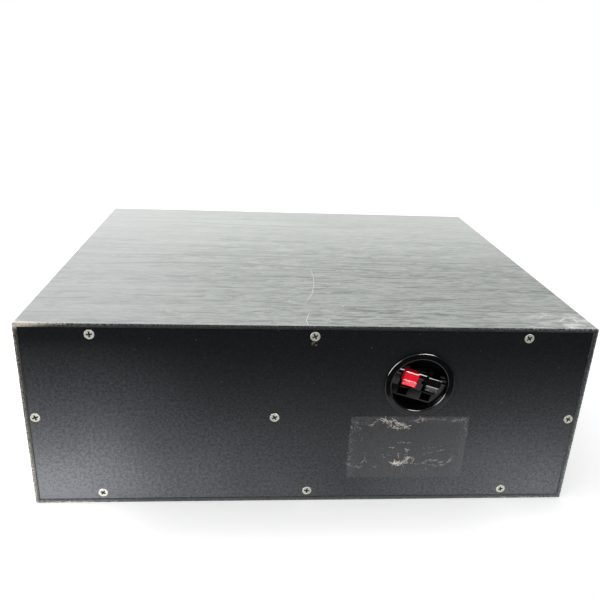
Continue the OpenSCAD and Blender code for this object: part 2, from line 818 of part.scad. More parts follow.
// Tag strip on the basket's foot, with two solder tabs
module driver_terminals() {
    strip = [18, 9, 1.2];
    tab = [3.2, 6, 0.8];
    difference() {
        union() {
            translate([-strip[0] / 2, -plate_r - strip[1], woofer_tag_z]) cube(strip);
            for (x = [-woofer_tab_x, woofer_tab_x])
                translate([x - tab[0] / 2, -woofer_tab_r, woofer_tag_z + 0.2]) cube(tab);
        }
        disc(plate_r + 0.9, woofer_tag_z - over, woofer_tag_z + 2 + over);
    }
}

module left_basket() color("#3c3c40") on_baffle(-woofer_x) basket();
module left_gasket() color("#26221e") on_baffle(-woofer_x) gasket();
module left_surround() color("#1a1a1a") on_baffle(-woofer_x) surround();
module left_cone() color("#2e2c2a") on_baffle(-woofer_x) cone();
module left_dust_cap() color("#242424") on_baffle(-woofer_x) dust_cap();
module left_voice_coil() color("peru") on_baffle(-woofer_x) voice_coil();
module left_spider() color("tan") on_baffle(-woofer_x) spider();
module left_top_plate() color("silver") on_baffle(-woofer_x) top_plate();
module left_magnet() color("#4a4a4c") on_baffle(-woofer_x) magnet();
module left_back_plate() color("silver") on_baffle(-woofer_x) back_plate();
module left_terminals() color("sienna") on_baffle(-woofer_x) driver_terminals();
module right_basket() color("#3c3c40") on_baffle(woofer_x) basket();
module right_gasket() color("#26221e") on_baffle(woofer_x) gasket();
module right_surround() color("#1a1a1a") on_baffle(woofer_x) surround();
module right_cone() color("#2e2c2a") on_baffle(woofer_x) cone();
module right_dust_cap() color("#242424") on_baffle(woofer_x) dust_cap();
module right_voice_coil() color("peru") on_baffle(woofer_x) voice_coil();
module right_spider() color("tan") on_baffle(woofer_x) spider();
module right_top_plate() color("silver") on_baffle(woofer_x) top_plate();
module right_magnet() color("#4a4a4c") on_baffle(woofer_x) magnet();
module right_back_plate() color("silver") on_baffle(woofer_x) back_plate();
module right_terminals() color("sienna") on_baffle(woofer_x) driver_terminals();

// Pan head screw seated at z = 0, its shank pointing down
module pan_screw(head_r, shank_r, length) {
    difference() {
        union() {
            disc(head_r, 0, 1.2);
            translate([0, 0, 1.2]) cylinder(r1 = head_r, r2 = head_r * 0.6, h = 1);
            disc(shank_r, -length, 0);
        }
        translate([0, 0, 2.2]) cross_recess(head_r, 1.2);
    }
}

module woofer_screws() {
    color("#202022")
        for (x = [-woofer_x, woofer_x], turn = [45:90:315])
            on_baffle(x) rotate([0, 0, turn]) translate([screw_circle, 0, sheet_t])
                pan_screw(3.4, 1.7, driver_screw_len);
}

// Tweeter: moulded faceplate with a short flare, soft dome and a small ferrite magnet
module tweeter_faceplate() {
    throat_r = dome_r + 2 * dome_roll_r - 0.1;
    color("#1c1c1e") difference() {
        rotate_extrude() polygon([
            [throat_r, 0], [throat_r, 0.8], [throat_r + 8, face_t],
            [face_r - 1, face_t], [face_r, face_t - 1],
            [face_r, 0], [tweeter_cut_r - 1, 0], [tweeter_cut_r - 1, tweeter_magnet_z],
            [tweeter_plate_r + 0.2, tweeter_magnet_z], [tweeter_plate_r + 0.2, 0]
        ]);
        for (turn = [45:90:315])
            rotate([0, 0, turn]) translate([tweeter_screw_circle, 0, 0]) disc(2.1, -over, face_t + over);
    }
}

module tweeter_dome() {
    ball_r = 16;
    foot_z = -tweeter_flange_t;
    roll_mid = dome_r + dome_roll_r - 0.25;
    color("#2a2a30") rotate_extrude() {
        intersection() {
            translate([0, -sqrt(ball_r * ball_r - dome_r * dome_r)]) difference() {
                circle(ball_r);
                circle(ball_r - 0.4);
            }
            translate([0, foot_z]) square([dome_r + 0.3, ball_r]);
        }
        translate([roll_mid, foot_z]) half_ring(dome_roll_r, dome_roll_r - 0.35);
        translate([roll_mid + dome_roll_r - 0.3, foot_z]) square([3.6, tweeter_flange_t]);
    }
}

module tweeter_voice_coil() {
    color("peru") translate([0, 0, -tweeter_flange_t - 0.1]) {
        tube(dome_r + 0.1, dome_r - 0.15, -5, 0);
        tube(dome_r + 0.4, dome_r - 0.05, -4.2, -1);
    }
}

module tweeter_top_plate() {
    color("silver") tube(tweeter_plate_r, dome_r + 0.9, tweeter_magnet_z, tweeter_plate_z);
}

module tweeter_magnet() {
    color("#4a4a4c") tube(tweeter_magnet_r, dome_r + 4.5, tweeter_back_z, tweeter_magnet_z);
}

module tweeter_back_plate() {
    color("silver") {
        disc(tweeter_plate_r, tweeter_back_z - tweeter_plate_t, tweeter_back_z);
        disc(dome_r - 0.6, tweeter_back_z - tweeter_plate_t / 2, tweeter_plate_z - 0.2);
    }
}

module tweeter_terminals() {
    strip = [16, 8, 1.2];
    tab = [2.8, 0.8, tweeter_tab_len + 0.2];
    color("sienna") {
        translate([-strip[0] / 2, -strip[1] / 2, tweeter_tag_z]) cube(strip);
        for (x = [-tweeter_tab_x, tweeter_tab_x])
            translate([x - tab[0] / 2, -tab[1] / 2, tweeter_tag_z - tweeter_tab_len]) cube(tab);
    }
}

module tweeter_screws() {
    color("#202022")
        for (turn = [45:90:315])
            on_baffle(0) rotate([0, 0, turn]) translate([tweeter_screw_circle, 0, face_t])
                pan_screw(3.2, 1.4, driver_screw_len);
}

// Passive filter glued to the bottom board
module crossover_board() {
    color("#8a6a3c") translate([filter_x - filter_w / 2, filter_y - filter_d / 2, board_t])
        cube([filter_w, filter_d, filter_t]);
}

module crossover_capacitors() {
    wire = 2.5;
    color("#2848a0")
        for (side = [-1, 1])
            translate([
                filter_x - filter_w / 2 + 9, filter_y - 2 + side * (capacitor_r + 4), filter_top + capacitor_r
            ]) rotate([0, 90, 0]) {
                cylinder(r = capacitor_r, h = capacitor_len);
                translate([0, 0, -wire]) cylinder(r = 0.5, h = capacitor_len + 2 * wire);
            }
}

module crossover_inductors() {
    bore = inductor_r / 2;
    color("#a8552a")
        for (side = [-1, 1])
            translate([filter_x + 15, filter_y - 3.5 + side * (inductor_flange_r + 0.5), filter_top]) {
                tube(inductor_r, bore, 0, inductor_h);
                for (z = [0, inductor_h - 1])
                    tube(inductor_flange_r, bore, z, z + 1);
            }
}

module crossover_resistor() {
    size = [9, 24, 9];
    color("#e6e2d4") translate([filter_x + filter_w / 2 - 17, filter_y - 14, filter_top]) cube(size);
}

module input_leads() color("firebrick") for (route = input_routes) lead(route);
module left_woofer_leads() color("firebrick") for (route = left_routes) lead(route);
module right_woofer_leads() color("firebrick") for (route = right_routes) lead(route);
module tweeter_leads() color("firebrick") for (route = tweeter_routes) lead(route);

// Two pads of wadding glued under the top board
module damping_wadding() {
    pad_w = 110;
    pad_h = 42;
    front = woofer_back_y + 17.5;
    pad_d = filter_front - 5 - front;
    color("gainsboro")
        for (side = [-1, 1])
            translate([side * (inner_w / 2 - pad_w / 2 - 10), front, ceiling_z - pad_h])
                linear_extrude(pad_h) rounded_box(pad_w, pad_d, 15);
}

top_board();
bottom_board();
left_side_board();
right_side_board();
front_baffle();
back_panel();
centre_brace();
back_panel_screws();
terminal_cup();
red_lever();
black_lever();
red_contact();
black_contact();
red_spring();
black_spring();
grille_rails();
grille_uprights();
grille_cloth();
grille_pegs();
grille_sockets();
left_basket();
left_gasket();
left_surround();
left_cone();
left_dust_cap();
left_voice_coil();
left_spider();
left_top_plate();
left_magnet();
left_back_plate();
left_terminals();
right_basket();
right_gasket();
right_surround();
right_cone();
right_dust_cap();
right_voice_coil();
right_spider();
right_top_plate();
right_magnet();
right_back_plate();
right_terminals();
woofer_screws();
on_baffle(0) tweeter_faceplate();
on_baffle(0) tweeter_dome();
on_baffle(0) tweeter_voice_coil();
on_baffle(0) tweeter_top_plate();
on_baffle(0) tweeter_magnet();
on_baffle(0) tweeter_back_plate();
on_baffle(0) tweeter_terminals();
tweeter_screws();
crossover_board();
crossover_capacitors();
crossover_inductors();
crossover_resistor();
input_leads();
left_woofer_leads();
right_woofer_leads();
tweeter_leads();
damping_wadding();
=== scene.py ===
import bpy
import bmesh
import math
import random
from mathutils import Matrix, Vector, noise


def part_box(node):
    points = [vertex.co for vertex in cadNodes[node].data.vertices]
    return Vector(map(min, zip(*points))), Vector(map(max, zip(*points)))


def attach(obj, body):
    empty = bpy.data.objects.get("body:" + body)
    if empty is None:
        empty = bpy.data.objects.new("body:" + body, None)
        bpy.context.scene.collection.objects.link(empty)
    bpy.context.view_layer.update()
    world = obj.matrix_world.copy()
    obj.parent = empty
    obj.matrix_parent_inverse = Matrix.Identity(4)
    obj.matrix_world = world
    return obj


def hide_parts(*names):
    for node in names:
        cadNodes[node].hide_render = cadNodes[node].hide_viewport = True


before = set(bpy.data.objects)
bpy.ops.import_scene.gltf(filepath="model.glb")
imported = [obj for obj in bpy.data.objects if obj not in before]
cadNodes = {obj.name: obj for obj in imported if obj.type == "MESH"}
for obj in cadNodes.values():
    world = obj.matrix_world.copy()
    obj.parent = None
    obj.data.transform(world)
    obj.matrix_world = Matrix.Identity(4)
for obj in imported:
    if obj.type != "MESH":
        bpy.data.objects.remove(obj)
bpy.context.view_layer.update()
scene = bpy.context.scene
scene.view_settings.view_transform = "Standard"
print("frame loaded,", len(cadNodes), "nodes")

# The camera stands behind the speaker, a little to the right of its middle, and looks down on it
rearView = {
    "place": (0.04935, 0.61394, 0.35412),
    "right": (-0.99687, 0.06710, 0.04190),
    "up": (0.01435, -0.36751, 0.92991),
    "lens": 37.314,
}


def makeCamera(settings):
    lensData = bpy.data.cameras.new("rearCamera")
    lensData.lens = settings["lens"]
    lensData.sensor_width = 36
    lensData.clip_start = 0.01
    camera = bpy.data.objects.new("rearCamera", lensData)
    right, up = Vector(settings["right"]).normalized(), Vector(settings["up"])
    back = right.cross(up).normalized()
    up = back.cross(right)
    turned = Matrix((right, up, back)).transposed().to_4x4()
    camera.matrix_world = Matrix.Translation(settings["place"]) @ turned
    scene.collection.objects.link(camera)
    scene.camera = camera


makeCamera(rearView)


# Small helpers for node trees
def startFinish(name):
    finish = bpy.data.materials.new(name)
    finish.use_nodes = True
    tree = finish.node_tree
    return finish, tree, tree.nodes["Principled BSDF"]


def connect(tree, socket, value):
    if isinstance(value, bpy.types.NodeSocket):
        tree.links.new(value, socket)
    else:
        socket.default_value = value


def calc(tree, operation, *values, clamp=False):
    node = tree.nodes.new("ShaderNodeMath")
    node.operation = operation
    node.use_clamp = clamp
    for socket, value in zip(node.inputs, values):
        connect(tree, socket, value)
    return node.outputs[0]


def objectPlace(tree, scale=(1, 1, 1), turn=(0, 0, 0), shift=(0, 0, 0)):
    coords = tree.nodes.new("ShaderNodeTexCoord")
    mapping = tree.nodes.new("ShaderNodeMapping")
    mapping.inputs["Location"].default_value = shift
    mapping.inputs["Rotation"].default_value = turn
    mapping.inputs["Scale"].default_value = scale
    tree.links.new(coords.outputs["Object"], mapping.inputs["Vector"])
    return mapping.outputs[0]


def axes(tree, vector):
    node = tree.nodes.new("ShaderNodeSeparateXYZ")
    tree.links.new(vector, node.inputs[0])
    return node.outputs[0], node.outputs[1], node.outputs[2]


def joinAxes(tree, x, y, z):
    node = tree.nodes.new("ShaderNodeCombineXYZ")
    for socket, value in zip(node.inputs, (x, y, z)):
        connect(tree, socket, value)
    return node.outputs[0]


def speckle(tree, vector, size, detail=3.0, rough=0.5, distortion=0.0):
    node = tree.nodes.new("ShaderNodeTexNoise")
    node.inputs["Scale"].default_value = 1 / size
    node.inputs["Detail"].default_value = detail
    node.inputs["Roughness"].default_value = rough
    node.inputs["Distortion"].default_value = distortion
    tree.links.new(vector, node.inputs["Vector"])
    return node.outputs[0]


def cells(tree, vector, size):
    node = tree.nodes.new("ShaderNodeTexVoronoi")
    node.inputs["Scale"].default_value = 1 / size
    tree.links.new(vector, node.inputs["Vector"])
    return node.outputs["Distance"]


def step(tree, value, low, high, start=0.0, end=1.0):
    node = tree.nodes.new("ShaderNodeMapRange")
    node.interpolation_type = "SMOOTHSTEP"
    for index, number in enumerate((value, low, high, start, end)):
        connect(tree, node.inputs[index], number)
    return node.outputs[0]


def tint(tree, factor, first, second):
    node = tree.nodes.new("ShaderNodeMix")
    node.data_type = "RGBA"
    connect(tree, node.inputs[0], factor)
    for socket, value in ((node.inputs[6], first), (node.inputs[7], second)):
        connect(tree, socket, value if isinstance(value, bpy.types.NodeSocket) else (*value, 1))
    return node.outputs[2]


def relief(tree, shader, height, depth, strength):
    node = tree.nodes.new("ShaderNodeBump")
    node.inputs["Strength"].default_value = strength
    node.inputs["Distance"].default_value = depth
    tree.links.new(height, node.inputs["Height"])
    tree.links.new(node.outputs[0], shader.inputs["Normal"])


def window(tree, value, low, high, soft):      # 1 between low and high, with soft ends
    rise = step(tree, value, low - soft, low + soft)
    fall = step(tree, value, high - soft, high + soft, 1.0, 0.0)
    return calc(tree, "MULTIPLY", rise, fall)


# Black-ash wrap of the cabinet. The grain runs round the box: along X on the top, upwards on the sides
ashWrap = {
    # pale and dark are lighter than black ash: the top's sheen is painted into them
    "pale": (0.305, 0.326, 0.306),
    "dark": (0.255, 0.274, 0.265),
    "pore": (0.070, 0.084, 0.082),
    "fleck": (0.46, 0.48, 0.46),
    "unsheenedFaceTone": (0.020, 0.022, 0.022),
    "topPaintedSheen": (0.60, 0.63, 0.59), "leftPaintedLight": (0.36, 0.36, 0.38), "topDust": (0.80, 0.83, 0.79),
    "rearRub": (0.50, 0.50, 0.48), "longRub": (0.46, 0.45, 0.42), "scratch": (0.80, 0.82, 0.79),
    "lipDark": (0.016, 0.019, 0.020), "lipFleck": (0.34, 0.37, 0.37), "lipFleckLeft": (0.58, 0.53, 0.45),
    "rawBoard": (0.40, 0.29, 0.18), "rawBoardPale": (0.58, 0.45, 0.30), "recess": (0.022, 0.022, 0.024),
    "worn": (0.72, 0.66, 0.57),
    # The two sets of pore lines: width over length, width, seed, reach, strength
    "poreLines": [(0.050, 0.0066, 9.1, 0.062, 1.00), (0.070, 0.0048, 11.9, 0.060, 0.85)],
    "rowPitch": 0.0053,
    "halfWidth": 0.225, "halfDepth": 0.1825, "height": 0.163,
    # Darker growth lines: middle along Y, wave height, wave length, phase, half width, from x to x, strength
    "growthLines": [
        (-0.1155, 0.0055, 0.308, 0.150, 0.0017, -0.20, 0.20, 0.9),
        (0.0145, 0.0060, 0.560, -0.090, 0.0014, -0.20, 0.19, 1.0),
        (0.0410, -0.0065, 0.380, 0.090, 0.0015, -0.19, 0.20, 1.0),
        (0.0270, 0.0015, 0.150, 0.020, 0.0014, -0.14, -0.03, 0.9),
        (0.0535, -0.0020, 0.400, 0.060, 0.0012, -0.17, 0.10, 0.8),
        (-0.0005, 0.0010, 0.250, 0.000, 0.0010, 0.00, 0.14, 0.8),
        (-0.0100, 0.0008, 0.210, 0.040, 0.0009, 0.02, 0.17, 0.6),
        (-0.0215, 0.0010, 0.260, 0.010, 0.0010, 0.01, 0.14, 0.6),
        (-0.1400, 0.0020, 0.220, 0.060, 0.0016, 0.00, 0.15, 0.6),
    ],
    # Dark knots of short pores: x, y, half length, half width
    "blotches": [(0.053, -0.1415, 0.013, 0.0045), (-0.034, -0.1325, 0.018, 0.0040),
                 (-0.046, 0.0265, 0.012, 0.0026), (-0.123, 0.0295, 0.007, 0.0024)],
    # Pale scratches on the top: points as (x, y) and half width in metres
    "scratches": [
        ([(-0.0069, 0.0480), (-0.0078, 0.0700), (-0.0066, 0.0900), (-0.0030, 0.1130),
          (0.0034, 0.1315)], 0.00024),
        ([(0.0032, 0.1575), (0.0052, 0.1660), (0.0066, 0.1715), (0.0058, 0.1790)], 0.00026),
        ([(0.0180, 0.1300), (0.0170, 0.1312)], 0.00055),
        ([(-0.0262, 0.1405), (-0.0258, 0.1420)], 0.00050),
        ([(-0.1860, 0.1600), (-0.1950, 0.1545), (-0.2030, 0.1580)], 0.00055),
        ([(-0.2010, 0.1660), (-0.2080, 0.1600), (-0.2140, 0.1625), (-0.2130, 0.1700)], 0.00080),
        ([(-0.2090, 0.1745), (-0.2160, 0.1765)], 0.00095),
    ],
}


def strokes(tree, x, y, points, half):      # 1 along a line drawn through the points, 0 away from it
    place = joinAxes(tree, x, y, 0.0)
    mask = 0.0
    for start, end in zip(points, points[1:]):
        run = Vector((end[0] - start[0], end[1] - start[1], 0))
        fromStart = tree.nodes.new("ShaderNodeVectorMath")
        fromStart.operation = "SUBTRACT"
        tree.links.new(place, fromStart.inputs[0])
        fromStart.inputs[1].default_value = (*start, 0)
        onLine = tree.nodes.new("ShaderNodeVectorMath")
        onLine.operation = "DOT_PRODUCT"
        tree.links.new(fromStart.outputs[0], onLine.inputs[0])
        onLine.inputs[1].default_value = run / run.length_squared
        share = calc(tree, "MULTIPLY", onLine.outputs["Value"], 1.0, clamp=True)
        nearest = tree.nodes.new("ShaderNodeVectorMath")
        nearest.operation = "SCALE"
        nearest.inputs[0].default_value = run
        tree.links.new(share, nearest.inputs["Scale"])
        away = tree.nodes.new("ShaderNodeVectorMath")
        away.operation = "DISTANCE"
        tree.links.new(fromStart.outputs[0], away.inputs[0])
        tree.links.new(nearest.outputs[0], away.inputs[1])
        mask = calc(tree, "MAXIMUM", mask,
                    step(tree, away.outputs["Value"], half * 0.4, half * 1.6, 1.0, 0.0))
    return mask


def makeAshWrap(name, upright, settings):
    finish, tree, shader = startFinish(name)
    plain = objectPlace(tree)
    px, py, pz = axes(tree, plain)
    if upright:
        along, across, flat = pz, py, calc(tree, "MULTIPLY", px, 0.2)
    else:
        along, across, flat = px, py, calc(tree, "MULTIPLY", pz, 0.2)

    def grain(slack, width, seed, detail=2.0, rough=0.55):
        # Noise drawn out along the grain: slack is its width over its length
        vector = joinAxes(tree, calc(tree, "MULTIPLY", along, slack), drifted, calc(tree, "ADD", flat, seed))
        return speckle(tree, vector, width, detail, rough)

    # Slow wander of the grain, then pores that follow it
    drifted = across
    wander = calc(tree, "MULTIPLY", calc(tree, "SUBTRACT", grain(0.40, 0.050, 0.0), 0.5), 0.014)
    drifted = calc(tree, "ADD", across, wander)
    broad = grain(0.10, 0.014, 0.3, 3.0)
    longPores = grain(0.075, 0.0030, 1.7, 3.0, 0.6)
    shortPores = grain(0.12, 0.0016, 4.1, 2.0, 0.6)
    finePores = grain(0.20, 0.0008, 5.3, 2.0, 0.6)
    gaps = step(tree, grain(0.22, 0.0030, 14.3, 1.0), 0.40, 0.50)
    poreLines = 0.0
    for slack, width, seed, reach, strength in settings["poreLines"]:
        away = calc(tree, "ABSOLUTE", calc(tree, "SUBTRACT", grain(slack, width, seed, 1.0), 0.5))
        poreLines = calc(tree, "MAXIMUM", poreLines, step(tree, away, 0.25 * reach, reach, strength, 0.0))
    poreLines = calc(tree, "MULTIPLY", poreLines, gaps)
    broken = grain(0.25, 0.0150, 7.7)
    fleck = speckle(tree, plain, 0.0016, 3.0, 0.7)
    coarse = speckle(tree, plain, 0.011, 3.0, 0.6)

    lines = 0.0
    for middle, rise, length, phase, half, start, end, strength in settings["growthLines"]:
        turns = 2 * math.pi / length
        wave = calc(tree, "COSINE", calc(tree, "MULTIPLY_ADD", along, turns, phase * turns))
        centre = calc(tree, "MULTIPLY_ADD", wave, -rise, middle)
        away = calc(tree, "ABSOLUTE",
                    calc(tree, "SUBTRACT", calc(tree, "MULTIPLY_ADD", wander, 0.16, across), centre))
        mask = step(tree, away, half * 0.2, half * 2.2, strength, 0.0)
        mask = calc(tree, "MULTIPLY", mask, window(tree, along, start, end, 0.022))
        lines = calc(tree, "MAXIMUM", lines, mask)
    lines = calc(tree, "MULTIPLY", lines, step(tree, longPores, 0.30, 0.50, 0.50, 1.0))
    for x, y, halfLength, halfWidth in settings["blotches"]:
        offAlong = calc(tree, "DIVIDE", calc(tree, "SUBTRACT", along, x), halfLength)
        offAcross = calc(tree, "DIVIDE", calc(tree, "SUBTRACT", across, y), halfWidth)
        spread = calc(tree, "ADD", calc(tree, "POWER", offAlong, 2.0), calc(tree, "POWER", offAcross, 2.0))
        knot = calc(tree, "MULTIPLY",
                    step(tree, spread, 0.2, 1.4, 1.0, 0.0), step(tree, shortPores, 0.42, 0.56))
        lines = calc(tree, "MAXIMUM", lines, knot)
    rows = calc(tree, "SINE", calc(tree, "MULTIPLY", drifted, 2 * math.pi / settings["rowPitch"]))
    rows = calc(tree, "MULTIPLY", step(tree, rows, 0.25, 0.95), window(tree, across, 0.058, 0.146, 0.012))
    rows = calc(tree, "MULTIPLY", rows, step(tree, broken, 0.42, 0.60, 0.1, 1.0))
    rows = calc(tree, "MULTIPLY", rows, step(tree, along, -0.04, 0.09, 0.75, 0.25))

    colour = tint(tree, step(tree, broad, 0.30, 0.70), settings["pale"], settings["dark"])
    dense = calc(tree, "MULTIPLY", step(tree, across, -0.17, 0.03, 0.55, 1.0),
                 step(tree, along, -0.10, 0.20, 1.0, 0.62))
    pores = calc(tree, "MAXIMUM", step(tree, longPores, 0.54, 0.68, 0.0, 0.40),
                 step(tree, shortPores, 0.52, 0.62, 0.0, 0.80))
    pores = calc(tree, "MAXIMUM", pores, poreLines)
    pores = calc(tree, "MULTIPLY", pores, step(tree, broken, 0.35, 0.60, 0.60, 1.0))
    pores = calc(tree, "MULTIPLY", pores, dense)
    pores = calc(tree, "MAXIMUM", pores, calc(tree, "MULTIPLY", rows, 0.8))
    pores = calc(tree, "MAXIMUM", pores, step(tree, finePores, 0.55, 0.68, 0.0, 0.50))
    pores = calc(tree, "MAXIMUM", pores, calc(tree, "MULTIPLY", lines, 0.80))
    colour = tint(tree, pores, colour, settings["pore"])
    colour = tint(tree, step(tree, fleck, 0.45, 0.70, 0.0, 0.22), colour, settings["fleck"])
    # The top face stays lighter than the other faces as painted sheen, with more painted sheen towards the
    # front edge and painted light towards the left as seen from behind, and is a little dusty all over
    topGap = calc(tree, "SUBTRACT", settings["height"], pz)
    onTop = step(tree, topGap, 0.0004, 0.0012, 1.0, 0.0)
    # Painted sheen: every face but the top is darkened towards black ash, so the top stays the lighter,
    # sheened copy of the wrap
    colour = tint(tree, calc(tree, "MULTIPLY_ADD", onTop, -0.40, 0.40), colour, settings["unsheenedFaceTone"])
    # Painted sheen on the top, growing towards the front edge
    haze = calc(tree, "MULTIPLY",
                step(tree, py, 0.13, -0.17, 0.0, 0.42), step(tree, px, -0.22, -0.02, 1.25, 1.0))
    colour = tint(tree, calc(tree, "MULTIPLY", haze, onTop), colour, settings["topPaintedSheen"])
    # Painted light from the left: the top is lightened towards the left as seen from behind
    greyed = calc(tree, "MULTIPLY", step(tree, px, 0.06, 0.20, 0.0, 0.30), onTop)
    colour = tint(tree, greyed, colour, settings["leftPaintedLight"])
    colour = tint(tree, calc(tree, "MULTIPLY", onTop, 0.09), colour, settings["topDust"])

    # Wear: rubbed long edges, a bare corner, scuffs and scratches on the top
    rearGap = calc(tree, "SUBTRACT", settings["halfDepth"], py)
    sideGap = calc(tree, "SUBTRACT", settings["halfWidth"], calc(tree, "ABSOLUTE", px))
    faceGap = calc(tree, "MINIMUM", calc(tree, "MINIMUM", topGap, sideGap), pz)
    rearFace = step(tree, rearGap, 0.0002, 0.0006, 1.0, 0.0)
    endWear = calc(tree, "ADD", step(tree, px, 0.120, 0.205), step(tree, px, -0.110, -0.215))
    rearRub = calc(tree, "MULTIPLY",
                   step(tree, rearGap, 0.0006, 0.0050, 1.0, 0.0), step(tree, fleck, 0.44, 0.60))
    longRub = calc(tree, "MULTIPLY", step(tree, calc(tree, "ADD", topGap, sideGap), 0.0012, 0.0032, 1.0, 0.0),
                   step(tree, coarse, 0.45, 0.62))
    cornerX = calc(tree, "SUBTRACT", settings["halfWidth"], px)
    corner = calc(tree, "ADD", calc(tree, "MULTIPLY", cornerX, 0.16), calc(tree, "ADD", topGap, rearGap))
    bare = calc(tree, "MULTIPLY", step(tree, corner, 0.0022, 0.0068, 1.0, 0.0), step(tree, fleck, 0.28, 0.50))
    rearRub = calc(tree, "MULTIPLY", rearRub, calc(tree, "MULTIPLY_ADD", endWear, 0.4, 0.3))
    colour = tint(tree, rearRub, colour, settings["rearRub"])
    colour = tint(tree, calc(tree, "MULTIPLY", longRub, 0.5), colour, settings["longRub"])
    marks = 0.0
    for points, half in settings["scratches"]:
        marks = calc(tree, "MAXIMUM", marks, strokes(tree, px, py, points, half))
    marks = calc(tree, "MULTIPLY", marks, step(tree, fleck, 0.30, 0.56, 0.20, 0.75))
    smear = speckle(tree, joinAxes(tree, calc(tree, "MULTIPLY", px, 0.30), py, 0.0), 0.0075, 4.0, 0.6, 0.8)
    scuffed = calc(tree, "MULTIPLY",
                   step(tree, px, -0.135, -0.195), step(tree, rearGap, 0.010, 0.060, 1.0, 0.0))
    scuffed = calc(tree, "MULTIPLY", scuffed, step(tree, smear, 0.46, 0.70, 0.0, 0.60))
    marks = calc(tree, "MAXIMUM", calc(tree, "MULTIPLY", marks, 0.85), scuffed)
    colour = tint(tree, calc(tree, "MULTIPLY", marks, onTop), colour, settings["scratch"])

    # The narrow rear edges of the boards: dark, with pale flecks on the outer arris
    arris = step(tree, faceGap, 0.0003, 0.0024, 1.0, 0.12)
    lipWear = calc(tree, "MULTIPLY", arris, calc(tree, "MULTIPLY_ADD", endWear, 0.55, 0.35))
    lipWear = calc(tree, "MULTIPLY", step(tree, fleck, 0.43, 0.62), lipWear)
    lipPale = tint(tree, step(tree, px, 0.150, 0.205), settings["lipFleck"], settings["lipFleckLeft"])
    lip = tint(tree, lipWear, settings["lipDark"], lipPale)
    colour = tint(tree, rearFace, colour, lip)
    colour = tint(tree, calc(tree, "MULTIPLY", bare, 0.9), colour, settings["worn"])

    # Raw board behind the wrap, painted black in the front recess
    inside = step(tree, faceGap, 0.0032, 0.0038)
    recess = step(tree, py, -0.1655, -0.1650, 1.0, 0.0)
    fibres = tint(tree, speckle(tree, plain, 0.0024, 4.0, 0.7),
                  settings["rawBoard"], settings["rawBoardPale"])
    innerColour = tint(tree, recess, fibres, settings["recess"])
    frontEdge = step(tree, calc(tree, "ADD", py, settings["halfDepth"]), 0.0002, 0.0008, 1.0, 0.0)
    inside = calc(tree, "MULTIPLY", inside, calc(tree, "SUBTRACT", 1.0, frontEdge))
    inside = calc(tree, "MULTIPLY", inside, calc(tree, "SUBTRACT", 1.0, rearFace))
    colour = tint(tree, inside, colour, innerColour)
    tree.links.new(colour, shader.inputs["Base Color"])

    gloss = calc(tree, "ADD", step(tree, broad, 0.2, 0.8, 0.33, 0.40), calc(tree, "MULTIPLY", pores, 0.16))
    gloss = calc(tree, "ADD", gloss,
                 calc(tree, "MULTIPLY", calc(tree, "MAXIMUM", inside, bare), 0.40), clamp=True)
    tree.links.new(gloss, shader.inputs["Roughness"])
    shader.inputs["IOR"].default_value = 1.65
    relief(tree, shader,
           calc(tree, "MULTIPLY_ADD", fleck, 0.15, calc(tree, "MULTIPLY", pores, -1.0)), 0.00016, 0.6)
    return finish


# Back panel: black painted board under a pale layer that is partly dusty and partly painted light, strongest
# low down and towards both ends, with the haze of a peeled-off sheet below the terminal
backPaint = {
    "dark": (0.0050, 0.0058, 0.0074),
    "light": (0.0095, 0.0108, 0.0132),
    "dust": (0.124, 0.128, 0.139),
    "haze": (0.120, 0.122, 0.124),
    "tooth": (0.085, 0.090, 0.100),
    "speck": (0.35, 0.35, 0.36),
    "chip": (0.33, 0.27, 0.20),
    "dustTop": 0.150,
    "peeledX": (-0.1318, -0.0330), "peeledZ": (0.0228, 0.0825),
    "chipX": (-0.0016, 0.0024), "chipZ": (0.1462, 0.1490),
}


